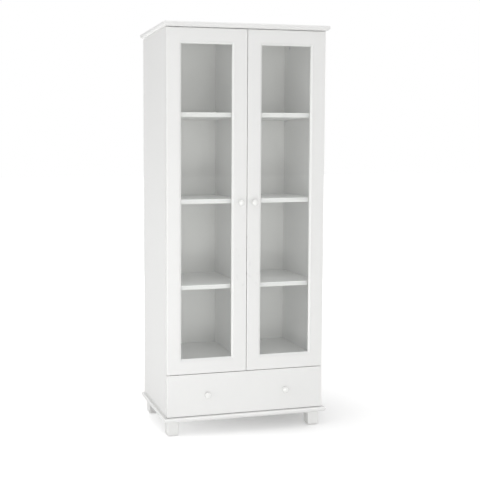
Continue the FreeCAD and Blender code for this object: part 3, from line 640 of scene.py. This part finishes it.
class Bar:
    """A round solid of a CAD node: its axis, its outer end, its length and its two radii."""

    def __init__(self, corners, outward=None):
        low, high = corners.min(0), corners.max(0)
        size = high - low
        centre = (low + high) / 2
        spread = [abs(size[(axis + 1) % 3] - size[(axis + 2) % 3]) for axis in range(3)]
        axis = int(np.argmin(spread))
        along = corners[:, axis]
        across = np.delete(corners - centre, axis, axis=1)
        away = np.hypot(across[:, 0], across[:, 1])
        near_low = away[along < low[axis] + END_SLACK].max()
        near_high = away[along > high[axis] - END_SLACK].max()
        if outward is None:
            sign = 1 if near_high >= near_low else -1
        else:
            sign = 1 if outward(Vector(centre))[axis] > 0 else -1
        self.length = float(size[axis])
        self.radius = float(away.max())
        self.shank = float(min(near_low, near_high))
        depth = (high[axis] - along) if sign > 0 else (along - low[axis])
        self.head = float(depth[away > HEAD_SHARE * self.radius].max())
        self.outward = Vector((0, 0, 0))
        self.outward[axis] = sign
        self.end = Vector(centre)
        self.end[axis] = float(high[axis] if sign > 0 else low[axis])

    def kind(self):
        return tuple(round(s / MM, 2) for s in (self.length, self.radius, self.shank, self.head))


def tree_with(name, inputs):
    """A geometry node tree with its named inputs, its network, and the inputs' values."""
    tree = bpy.data.node_groups.new(name, "GeometryNodeTree")
    for title, kind in inputs.items():
        tree.interface.new_socket(title, in_out="INPUT", socket_type="NodeSocket" + kind)
    tree.interface.new_socket("Result", in_out="OUTPUT", socket_type="NodeSocketGeometry")
    network = Network(tree)
    given = {title: network.node("NodeGroupInput", {}, title) for title in inputs}
    return tree, network, given


def end_tree(network, geometry, finish):
    """End a node tree in real geometry with its material."""
    whole = network.node("GeometryNodeRealizeInstances", {"Geometry": geometry})
    painted = network.node("GeometryNodeSetMaterial", {"Geometry": whole, "Material": finish})
    network.node("NodeGroupOutput", {"Result": painted})


def setting_tree():
    """The tree that sets copies of a fastener on places, each turned by chance about its axis."""
    inputs = {
        "Places": "Geometry", "Fastener": "Object", "Finish": "Material", "Most turn": "Float",
    }
    tree, setting, given = tree_with("fastener_setting", inputs)
    node = setting.node
    outward = node("GeometryNodeInputNamedAttribute", {"Name": "outward"}, data_type="FLOAT_VECTOR")
    facing = node("FunctionNodeAlignRotationToVector", {"Vector": outward}, axis="Z")
    chance = {2: 0.0, 3: given["Most turn"], "Seed": SETTING_SEED}
    turn = node("FunctionNodeRandomValue", chance, 1, data_type="FLOAT")
    spin = node("FunctionNodeAxisAngleToRotation", {"Axis": (0, 0, 1), "Angle": turn})
    both = {"Rotation": facing, "Rotate By": spin}
    turned_by = node("FunctionNodeRotateRotation", both, rotation_space="LOCAL")
    model = node("GeometryNodeObjectInfo", {"Object": given["Fastener"]}, "Geometry")
    placing = {"Points": given["Places"], "Instance": model, "Rotation": turned_by}
    end_tree(setting, node("GeometryNodeInstanceOnPoints", placing), given["Finish"])
    return tree


SETTING = setting_tree()


def points_mesh(name, places):
    mesh = bpy.data.meshes.new(name)
    mesh.from_pydata([place[:] for place in places], [], [])
    return mesh


def grown(name, base, tree, **inputs):
    """The mesh that a node tree makes of a base. Inputs are set by their sockets' identifiers."""
    carrier = in_scene(name, base)
    modifier = carrier.modifiers.new(name, "NODES")
    modifier.node_group = tree
    for item in tree.interface.items_tree:
        key = item.name.replace(" ", "_")
        if item.in_out == "INPUT" and key in inputs:
            modifier[item.identifier] = inputs[key]
    return finished_mesh(carrier)


def repeated(name, spots, model, finish, most_turn=2 * math.pi):
    """One mesh of a model set at each spot: a place, and the way that its Z axis points."""
    places = points_mesh(name + "_places", [place for place, outward in spots])
    ways = places.attributes.new("outward", "FLOAT_VECTOR", "POINT")
    ways.data.foreach_set("vector", [part for place, outward in spots for part in outward])
    fastener = bpy.data.objects.new(name + "_model", model)
    made = grown(name, places, SETTING, Fastener=fastener, Finish=finish, Most_turn=most_turn)
    bpy.data.objects.remove(fastener)
    return made


def together(name, meshes):
    """Several meshes made one."""
    shape = bmesh.new()
    for mesh in meshes:
        shape.from_mesh(mesh)
    return mesh_from(shape, name)


def fastened(name, node, model_of, finish, outward=None):
    """Stand a made model for every round solid of a CAD node, one model for each size of them."""
    kinds = {}
    for corners in solids_of(node):
        bar = Bar(corners, outward)
        kinds.setdefault(bar.kind(), []).append(bar)
    meshes = []
    for kind, bars in sorted(kinds.items()):
        model = shaded_smooth(mesh_from(model_of(bars[0]), name))
        spots = [(bar.end, bar.outward) for bar in bars]
        meshes.append(repeated(name, spots, model, finish))
    set_out(name, together(name, meshes), node, finish)


def knob_shape(bar):
    """A knob whose tip is at the origin and whose foot stands on the panel below it."""
    reach = bar.length
    foot_radius = max(bar.shank, KNOB_FOOT_RADIUS)
    profile = [(0, 0)]
    for step in range(1, HEAD_STEPS + 1):
        angle = math.pi / 2 - step * HEAD_STEP_ANGLE
        height = KNOB_HALF_HEAD * (math.sin(angle) - 1)
        profile.append((bar.radius * math.cos(angle), height))
    throat, top = profile[-1]
    for step in range(1, NECK_STEPS):
        share = step / NECK_STEPS
        sweep = (1 - math.cos(math.pi * share)) / 2
        radius = throat + (KNOB_NECK_RADIUS - throat) * min(1, sweep * NECK_HASTE)
        flare = max(0.0, share - FLARE_START) / (1 - FLARE_START)
        radius += (foot_radius - KNOB_NECK_RADIUS) * flare ** 2
        profile.append((radius, top + (KNOB_FOOT_TOP - reach - top) * share))
    profile += [(foot_radius, KNOB_FOOT_EDGE - reach), (foot_radius, -reach), (0, -reach)]
    return turned(profile, sides=64)


def always(*way):
    """The outward way of fasteners that all look the same way."""
    return lambda centre: Vector(way)


to_the_front = always(0, -1, 0)
knob_paint = sprayed_paint(
    "knob_paint", (0.84, 0.84, 0.825), rough=0.14, peel_depth=0.015 * MM, coat=1.0
)
for node in ("left_door_knob", "right_door_knob", "drawer_knobs"):
    fastened(node + "_turned", node, knob_shape, knob_paint, to_the_front)


# Hinges
# Three concealed hinges of nickelled steel a door: a pressed cup let into it, a plate screwed to
# the case, and a channel-shaped arm with two adjusting screws. They show when a door is open.

ARM_WALL, ARM_ROUNDING, ARM_DEPTH = 1.4 * MM, 2.6 * MM, 9.2 * MM
ARM_CORNER_STEPS = 4
# How far along the arm, and how high and deep it is there, as shares of the whole
ARM_FORM = (
    (0.0, 0.80, 0.62), (0.03, 0.94, 0.86), (0.08, 1.0, 1.0), (0.56, 1.0, 1.0), (0.67, 0.93, 0.93),
    (0.80, 0.80, 0.83), (0.93, 0.76, 0.78), (0.98, 0.70, 0.70), (1.0, 0.60, 0.55),
)
ADJUSTER_SHARES = (0.18, 0.42)
ADJUSTER_RADIUS, ADJUSTER_HEIGHT, ADJUSTER_REACH = 3.2 * MM, 2.0 * MM, 10 * MM


def plated_steel(name, colour, rough, spangle):
    """Plated steel: small clouds of shade, a spangle of crystals and corners rubbed bright."""
    material, metal = begun(name)
    cloud = metal.noise(110, 3.0)
    grains = {"Vector": metal.place, "Scale": 700.0}
    crystal = metal.node("ShaderNodeTexVoronoi", grains, "Distance")
    arris = marked(metal, "arris")
    tone = cloud.swing(1.2) + crystal.swing(spangle) + arris * 0.3 + 0.5
    principled(
        metal,
        Base_Color=metal.blend(tone.within(0.0, 1.0), tinted(colour, 0.86), tinted(colour, 1.1)),
        Metallic=1.0,
        Roughness=cloud.swing(0.22) + crystal.swing(spangle * 0.1) + rough - arris * 0.06,
        Normal=relief(metal, cloud, depth=0.02 * MM),
    )
    return material


def recessed(profile, sides, arm, half_width, depth, wave=None):
    """A shape turned from its flat top downwards, with a driver's cross cut into that top."""
    shape = turned(profile, sides, wave=wave)
    top = max(corner.co.z for corner in shape.verts)
    rim = [
        edge for edge in shape.edges
        if edge.is_boundary and all(corner.co.z > top - WELD for corner in edge.verts)
    ]
    quarter = [(arm, -half_width), (arm, half_width), (half_width, half_width)]
    rings = []
    for narrowing, drop in ((1.0, 0.0), (0.55, depth)):
        ring = []
        for turn in range(4):
            spin = Matrix.Rotation(turn * math.pi / 2, 3, "Z")
            for x, y in quarter:
                corner = spin @ Vector((x * narrowing, y * narrowing, top - drop))
                ring.append(shape.verts.new(corner))
        rings.append(ring)
    mouth, bottom = rings
    lips = [shape.edges.new((corner, mouth[number - 1])) for number, corner in enumerate(mouth)]
    bmesh.ops.triangle_fill(shape, edges=rim + lips, use_beauty=True)
    for number, corner in enumerate(mouth):
        shape.faces.new((mouth[number - 1], corner, bottom[number], bottom[number - 1]))
    shape.faces.new(bottom)
    bmesh.ops.recalc_face_normals(shape, faces=shape.faces)
    return shape


def channel_outline(half_height, depth, rounding):
    """Half of a channel's outline and its mirror image: (away from the plate, up) pairs."""
    half = [(0.0, -half_height)]
    for step in range(ARM_CORNER_STEPS + 1):
        angle = step * math.pi / 2 / ARM_CORNER_STEPS
        away = depth - rounding + rounding * math.sin(angle)
        half.append((away, rounding - half_height - rounding * math.cos(angle)))
    return half + [(away, -up) for away, up in reversed(half)]


def lofted(rings):
    """A solid through rings of corners, shut by the first and the last of them."""
    shape = bmesh.new()
    rings = [[shape.verts.new(corner) for corner in ring] for ring in rings]
    for ring, after in zip(rings, rings[1:]):
        for number, corner in enumerate(ring):
            shape.faces.new((ring[number - 1], corner, after[number], after[number - 1]))
    for ring in (rings[0], rings[-1]):
        shape.faces.new(ring)
    bmesh.ops.recalc_face_normals(shape, faces=shape.faces)
    return shape


def arm_shape(length, half_height, side):
    """A pressed arm that runs forwards from the origin, its open side towards the case's side."""
    rings = []
    for along, high, deep in ARM_FORM:
        up, out = half_height * high, ARM_DEPTH * deep
        outline = channel_outline(up, out, ARM_ROUNDING)
        outline += channel_outline(up - ARM_WALL, out - ARM_WALL, ARM_ROUNDING - ARM_WALL)[::-1]
        rings.append([(-side * away, -along * length, height) for away, height in outline])
    return lofted(rings)


def adjuster_shape():
    """A short screw with its crossed head at the origin."""
    radius, height = ADJUSTER_RADIUS, ADJUSTER_HEIGHT
    profile = [(radius * 0.8, 0), (radius, -0.3 * MM), (radius, -height), (0, -height)]
    return recessed(profile, 24, arm=radius * 0.6, half_width=radius * 0.15, depth=1.2 * MM)


nickel = plated_steel("nickel_plate", (0.70, 0.69, 0.66), rough=0.27, spangle=0.15)
adjuster = shaded_smooth(mesh_from(adjuster_shape(), "hinge_adjuster"))
arms = solids_of("hinge_arms")
arm_meshes = []
for side in (-1, 1):
    feet_of_arms = []
    adjusters = []
    for corners in arms:
        low, high = corners.min(0), corners.max(0)
        if side * low[0] < 0:
            continue
        length, half_height = float(high[1] - low[1]), float(high[2] - low[2]) / 2
        at_plate = float(low[0] if side < 0 else high[0])
        foot = Vector((at_plate, float(high[1]), float(low[2]) + half_height))
        feet_of_arms.append((foot, (0, 0, 1)))
        for share in ADJUSTER_SHARES:
            place = foot + Vector((-side * ADJUSTER_REACH, -share * length, 0))
            adjusters.append((place, (-side, 0, 0)))
    arm = shaded_smooth(mesh_from(arm_shape(length, half_height, side), "hinge_arm"))
    arm_meshes.append(repeated("hinge_arm", feet_of_arms, arm, nickel, most_turn=0.0))
    arm_meshes.append(repeated("hinge_adjuster", adjusters, adjuster, nickel))
channels = together("hinge_arm_channels", arm_meshes)
set_out("hinge_arm_channels", channels, "hinge_arms", nickel)
plates = eased("hinge_plates", ease=0.4 * MM, rounding=(0, 4 * MM))
set_out("hinge_plate_pressings", plates, "hinge_plates", nickel)
for hand in HANDS:
    node = f"{hand}_door_hinge_cups"
    cups = eased(node, ease=0.25 * MM, rounding=(1, 6 * MM))
    set_out(node + "_pressed", cups, node, nickel)


# Door screws and bumpers
# Zinc-plated screws hold each cup and knob. Two soft clear domes behind each door's meeting stile
# take up the shock when the door closes on the partition.

SUNK_HEAD = 1.8 * MM
TURN_ROWS = 4
DOME_RISE = 1.4 * MM
DOME_STEPS = 8


def thread(low, high, pitch, depth):
    """How far a thread's groove lies below its crest, at each angle and height."""
    def groove(angle, here):
        if not low < here < high:
            return 0.0
        phase = (angle / (2 * math.pi) + here / pitch) % 1.0
        return -depth * (1 - abs(2 * phase - 1))

    return groove


def thread_rows(radius, high, low, pitch):
    """The rows of a profile that carry a thread."""
    rows = []
    while high > low:
        rows.append((radius, high))
        high -= pitch / TURN_ROWS
    return rows


def screw_shape(bar):
    """A screw under its head's top: a sunk cone or a low dome, then a thread down to the point."""
    length, head, shank, radius = bar.length, bar.head, bar.shank, bar.radius
    if head > SUNK_HEAD:
        profile = [(radius * 0.94, 0), (radius, -0.25 * MM), (shank, -head)]
    else:
        profile = [
            (radius * 0.70, 0), (radius * 0.88, -head * 0.18), (radius * 0.98, -head * 0.5),
            (radius, -head * 0.95), (radius * 0.96, -head), (shank, -head),
        ]
    pitch = 0.9 * shank
    high, low = -head - 0.3 * MM, -length + 1.6 * shank
    profile += thread_rows(shank, high, low, pitch)
    profile += [(shank, low), (shank * 0.42, -length + 0.3 * shank), (0, -length)]
    groove = thread(low - WELD, high - 0.1 * MM, pitch, 0.24 * shank)
    arm, half_width, depth = radius * 0.52, radius * 0.13, min(1.4 * MM, 0.5 * radius)
    return recessed(profile, 20, arm, half_width, depth, groove)


def soft_plastic(name, colour, rough, alpha=1.0):
    """Moulded plastic: nearly even, with faint flow marks, fine pitting and a little dust."""
    material, plastic = begun(name)
    flow = plastic.noise(120, 3.0)
    pit = plastic.noise(2200, 2.0)
    dark, light = tinted(colour, 0.93), tinted(colour, 1.03)
    principled(
        plastic,
        Base_Color=plastic.blend(flow.within(0.3, 0.7), dark, light),
        Roughness=flow.swing(0.2) + pit.swing(0.1) + rough,
        Alpha=alpha,
        Normal=relief(plastic, pit, depth=0.02 * MM),
    )
    return material


def bumper_shape(bar):
    """A low dome on a short round foot."""
    profile = [(0, 0)]
    for step in range(1, DOME_STEPS + 1):
        angle = step * math.pi / 2 / DOME_STEPS
        profile.append((bar.radius * math.sin(angle), DOME_RISE * (math.cos(angle) - 1)))
    profile += [(bar.radius, -bar.length), (0, -bar.length)]
    return turned(profile, sides=32)


to_the_rear = always(0, 1, 0)
zinc = plated_steel("zinc_plate", (0.62, 0.63, 0.65), rough=0.36, spangle=0.5)
clear_rubber = soft_plastic("clear_rubber", (0.80, 0.82, 0.81), rough=0.22, alpha=0.55)
for hand in HANDS:
    node = f"{hand}_door_screws"
    fastened(node + "_threaded", node, screw_shape, zinc, to_the_rear)
    node = f"{hand}_door_bumpers"
    fastened(node + "_domes", node, bumper_shape, clear_rubber, to_the_rear)


# Drawer
# One full-width front, painted like the doors, on a box of foil-faced board. Its sides and back
# are 12 mm thick, and a painted hardboard bottom slides into grooves.


def foil_face(name, colour, rough):
    """White foil on board: a fine pressed pore, hardly any drift of shade, and dull cut edges."""
    material, foil = begun(name)
    pore = foil.noise(800, 3.0)
    cloud = foil.noise(9, 2.0)
    tone = (pore.swing(0.6) + cloud.swing(0.8) + 0.5).within(0.1, 0.9)
    face = foil.blend(tone, tinted(colour, 0.96), tinted(colour, 1.02))
    principled(
        foil,
        Base_Color=foil.blend(marked(foil, "arris") * 0.6, face, tinted(colour, 0.90)),
        Roughness=pore.swing(0.25) + rough,
        Normal=relief(foil, pore, depth=0.05 * MM),
    )
    return material


front = eased("drawer_front", ease=0.25 * MM)
set_out("drawer_front_board", front, "drawer_front", frame_paint)
drawer_foil = foil_face("drawer_foil", (0.80, 0.80, 0.785), rough=0.42)
for node in ("drawer_left_side", "drawer_right_side", "drawer_back"):
    set_out(node + "_board", eased(node, ease=0.5 * MM), node, drawer_foil)
bottom_paint = pressed_sheet("bottom_paint", (0.78, 0.78, 0.76), rough=0.55)
bottom = bare_but_one(eased("drawer_bottom", SHEET_EASE), painted=(0, 0, 1))
set_out("drawer_bottom_sheet", bottom, "drawer_bottom", bottom_paint)


# Runners
# Rails folded from 1.2 mm steel sheet and coated with white powder: one on each side of the case,
# with slotted holes in its web, and one under each side of the drawer.

RAIL_EASE = 0.4 * MM
SLOT_LENGTH, SLOT_HEIGHT, SLOT_SPACING = 14 * MM, 4.6 * MM, 32 * MM
SLOT_MARGIN, SAME_LEVEL = 13 * MM, 2 * MM
FIRST_SLOT, LAST_SLOT = 30 * MM, 14 * MM
PUNCH_REACH, PUNCH_STEPS = 2 * MM, 8


def powder_coat(name, colour, rough):
    """Baked powder coat: a fine leathery skin, a little grey where the rollers have polished it."""
    material, coat = begun(name)
    skin = coat.noise(650, 2.0)
    smear = coat.noise(25, 4.0)
    polished = smear.within(0.5, 0.8)
    share = polished * 0.35 + marked(coat, "arris") * smear.within(0.45, 0.7) * 0.5
    principled(
        coat,
        Base_Color=coat.blend(share, tinted(colour, 1), tinted(colour, 0.80)),
        Roughness=skin.swing(0.25) + rough - polished * 0.1,
        Normal=relief(coat, skin, depth=0.06 * MM),
    )
    return material


def slotting_tree():
    """The tree that cuts a slotted hole through a rail at every place."""
    inputs = {"Rail": "Geometry", "Places": "Object", "Punch": "Object", "Finish": "Material"}
    tree, slotting, given = tree_with("rail_slotting", inputs)
    node = slotting.node
    places, punch = (
        node("GeometryNodeObjectInfo", {"Object": given[title]}, "Geometry")
        for title in ("Places", "Punch")
    )
    punches = node("GeometryNodeInstanceOnPoints", {"Points": places, "Instance": punch})
    cutters = node("GeometryNodeRealizeInstances", {"Geometry": punches})
    solids = {0: given["Rail"], 1: cutters}
    slotted = node("GeometryNodeMeshBoolean", solids, operation="DIFFERENCE", solver="EXACT")
    end_tree(slotting, slotted, given["Finish"])
    return tree


def punch_shape():
    """A round-ended punch that passes through the web from side to side."""
    radius = SLOT_HEIGHT / 2
    straight = SLOT_LENGTH / 2 - radius
    outline = []
    for end, turn in ((1, 0), (-1, math.pi)):
        for step in range(PUNCH_STEPS + 1):
            angle = (step / PUNCH_STEPS - 0.5) * math.pi + turn
            outline.append((end * straight + radius * math.cos(angle), radius * math.sin(angle)))
    rings = [[(across, *corner) for corner in outline] for across in (-PUNCH_REACH, PUNCH_REACH)]
    return mesh_from(lofted(rings), "slot_punch")


SLOTTING = slotting_tree()
runner_coat = powder_coat("runner_coat", (0.80, 0.80, 0.785), rough=0.42)
punch = bpy.data.objects.new("slot_punch", punch_shape())
screws = [Bar(corners, to_the_rear) for corners in solids_of("carcass_screws")]
for hand, side in zip(HANDS, (-1, 1)):
    node = f"{hand}_cabinet_runner"
    low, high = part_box(node)
    web = low[0] if side < 0 else high[0]
    level = (low[2] + high[2]) / 2
    held = [
        bar.end.y for bar in screws if bar.end.x * side > 0 and abs(bar.end.z - level) < SAME_LEVEL
    ]
    places = []
    along = low[1] + FIRST_SLOT
    while along < high[1] - LAST_SLOT:
        if all(abs(along - screw_at) > SLOT_MARGIN for screw_at in held):
            places.append((web, along, level))
        along += SLOT_SPACING
    marks = bpy.data.objects.new("slot_places", points_mesh("slot_places", places))
    blank = eased(node, RAIL_EASE)
    slotted = grown("rail_blank", blank, SLOTTING, Places=marks, Punch=punch, Finish=runner_coat)
    bpy.data.objects.remove(marks)
    set_out(node + "_slotted", slotted, node, runner_coat)
bpy.data.objects.remove(punch)
rails = eased("drawer_runners", RAIL_EASE)
set_out("drawer_runner_rails", rails, "drawer_runners", runner_coat)


# Rollers
# Four nylon rollers on riveted axles, with crowned treads and a hollow round each hub: the front
# two turn on the case's rails, the rear two on the drawer's.

ROLLER_BORE = 2.28 * MM


def roller_shape(bar):
    """A roller with its outer face at the origin."""
    radius = bar.radius
    face = [
        (ROLLER_BORE, 0.3 * MM), (ROLLER_BORE + 0.3 * MM, 0), (3.9 * MM, 0), (4.2 * MM, 0.9 * MM),
        (6.2 * MM, 0.9 * MM), (6.6 * MM, 0), (radius - 0.7 * MM, 0), (radius - 0.15 * MM, 0.5 * MM),
        (radius, 1.7 * MM),
    ]
    near = [(across, -down) for across, down in face]
    far = [(across, down - bar.length) for across, down in reversed(face)]
    return turned(near + far, sides=48, closed=True)


def to_the_middle(centre):
    return Vector((-centre.x, 0, 0))


nylon = soft_plastic("roller_nylon", (0.80, 0.80, 0.77), rough=0.36)
for node in ("cabinet_rollers", "drawer_rollers"):
    fastened(node + "_moulded", node, roller_shape, nylon, to_the_middle)


# Fittings of the case
# Zinc cams and bolts draw the boards together beside fluted beech dowels, pins carry the shelves,
# nails hold the back sheet, and screws fix the hinge plates, the rails and the feet.

BOLT_BITE, BOLT_PITCH = 11 * MM, 1.8 * MM
DOWEL_FLUTES, FLUTE_DEPTH = 20, 0.035
PIN_REACH, PIN_COLLAR = 9 * MM, 3.8 * MM
NAIL_POINT = 1.8 * MM
PARTITION_REACH = 100 * MM


def bare_beech(name, colour):
    """Unpainted beech: short dark flecks and a slow change of shade."""
    material, wood = begun(name)
    fleck = wood.noise(700, 4.0)
    ring = wood.noise(45, 3.0)
    tone = (ring.swing(1.4) - fleck.within(0.55, 0.75) * 0.5 + 0.6).within(0.0, 1.0)
    principled(
        wood,
        Base_Color=wood.blend(tone, tinted(colour, 0.74), tinted(colour, 1.12)),
        Roughness=fleck.swing(0.2) + 0.62,
        Normal=relief(wood, fleck, depth=0.08 * MM),
    )
    return material


def stepped(radius, *steps, start=0):
    """Points of a profile: shares of a radius at depths in millimetres below a start."""
    return [(radius * share, start - depth * MM) for share, depth in steps]


def cam_shape(bar):
    """A drum with a rim at each end and a waist between, and a cross in its open face."""
    profile = stepped(bar.radius, (0.93, 0), (1, 0.5), (1, 2.6), (0.84, 3.2), (0.84, 9), (1, 9.6))
    profile += stepped(bar.radius, (1, -0.6), (0.93, 0), (0, 0), start=-bar.length)
    return recessed(profile, sides=32, arm=3.6 * MM, half_width=0.8 * MM, depth=2.2 * MM)


def bolt_shape(bar):
    """A cam bolt from its round head down over the neck and collar to the thread."""
    radius, length = bar.radius, bar.length
    collar = BOLT_BITE - length
    profile = stepped(
        radius, (0, 0), (0.62, 0), (0.88, 0.5), (0.95, 1.4), (0.80, 2.4), (0.48, 2.9), (0.48, 6.5),
        (0.80, 7.6),
    )
    profile += stepped(radius, (0.80, -2.0), (1, -1.7), (1, -0.3), (0.9, 0), start=collar)
    profile += thread_rows(radius, collar - 0.4 * MM, -length + 1.2 * MM, BOLT_PITCH)
    profile += stepped(radius, (0.9, -1.0), (0.55, 0), (0, 0), start=-length)
    groove = thread(1.1 * MM - length, collar - 0.3 * MM, BOLT_PITCH, 0.22 * radius)
    return turned(profile, sides=20, wave=groove)


def dowel_shape(bar):
    """A round peg with chamfered ends and flutes for the glue."""
    profile = stepped(bar.radius, (0, 0), (0.78, 0), (1, 1.1))
    profile += stepped(bar.radius, (1, -1.1), (0.78, 0), (0, 0), start=-bar.length)

    def flute(angle, here):
        return FLUTE_DEPTH * bar.radius * (math.cos(DOWEL_FLUTES * angle) - 1)

    return turned(profile, sides=2 * DOWEL_FLUTES, wave=flute)


def pin_shape(bar):
    """A shelf pin: a round-nosed peg with a thin collar that stops it at the wall."""
    radius = bar.radius
    profile = stepped(radius, (0, 0), (0.5, 0.08), (0.86, 0.4), (1, 1.1))
    profile += stepped(radius, (1, -0.85), start=-PIN_REACH)
    profile += stepped(PIN_COLLAR, (1, -0.8), (1, -0.1), start=-PIN_REACH)
    profile += stepped(radius, (0.98, -0.05), start=-PIN_REACH)
    profile += stepped(radius, (0.98, -1.0), (0.7, 0), (0, 0), start=-bar.length)
    return turned(profile, sides=28)


def nail_shape(bar):
    """A nail with a low round head."""
    radius, length, head, shank = bar.radius, bar.length, bar.head, bar.shank
    profile = [
        (0, 0), (radius * 0.5, -head * 0.08), (radius * 0.85, -head * 0.35),
        (radius, -head * 0.8), (radius * 0.94, -head), (shank, -head),
        (shank, NAIL_POINT - length), (0, -length),
    ]
    return turned(profile, sides=16)


def into_the_case(centre):
    """The way a cam's open face looks: down from the deck, and inwards from an upright board."""
    return Vector((1 if abs(centre.x) < PARTITION_REACH else -centre.x, 0, -1))


cam_centres = [
    Vector((corners.min(0) + corners.max(0)) / 2) for corners in solids_of("cam_locks")
]


def to_its_cam(centre):
    nearest = min(cam_centres, key=lambda cam: (cam - centre).length)
    return nearest - centre


def into_its_bay(centre):
    """The way a shelf pin's nose looks: to the middle of the bay that it is in."""
    return Vector((math.copysign(BAY_CENTRE, centre.x) - centre.x, 0, 0))


beech = bare_beech("bare_beech", (0.60, 0.42, 0.26))
fastened("cam_lock_drums", "cam_locks", cam_shape, zinc, into_the_case)
fastened("cam_bolts_threaded", "cam_bolts", bolt_shape, zinc, to_its_cam)
for node in ("wood_dowels", "drawer_dowels"):
    fastened(node + "_fluted", node, dowel_shape, beech)
fastened("shelf_pins_collared", "shelf_pins", pin_shape, zinc, into_its_bay)
fastened("back_nails_headed", "back_nails", nail_shape, zinc, to_the_rear)
for node in ("carcass_screws", "foot_screws", "drawer_screws"):
    fastened(node + "_threaded", node, screw_shape, zinc)


# Glides
# A round polyethylene disc nailed under each foot, its rim rounded so that it slides on a floor.
# It has a hollow in its middle for the nail.

GLIDE_HOLLOW = 0.9 * MM


def glide_shape(bar):
    """A disc with its sliding face at the origin."""
    radius, depth = bar.radius, bar.length
    profile = [
        (0, -GLIDE_HOLLOW), (2.6 * MM, -GLIDE_HOLLOW), (3.4 * MM, 0), (radius - 1.6 * MM, 0),
        (radius - 0.7 * MM, -0.2 * MM), (radius - 0.15 * MM, -0.75 * MM), (radius, -1.4 * MM),
        (radius, -depth), (0, -depth),
    ]
    return turned(profile, sides=48)


downwards = always(0, 0, -1)
polyethylene = soft_plastic("glide_plastic", (0.76, 0.76, 0.74), rough=0.48)
fastened(
    "foot_glide_discs", "foot_glides", glide_shape, polyethylene, downwards
)


# Size of the dressed cabinet
# The box that the dressed pieces fill.

low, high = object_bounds()
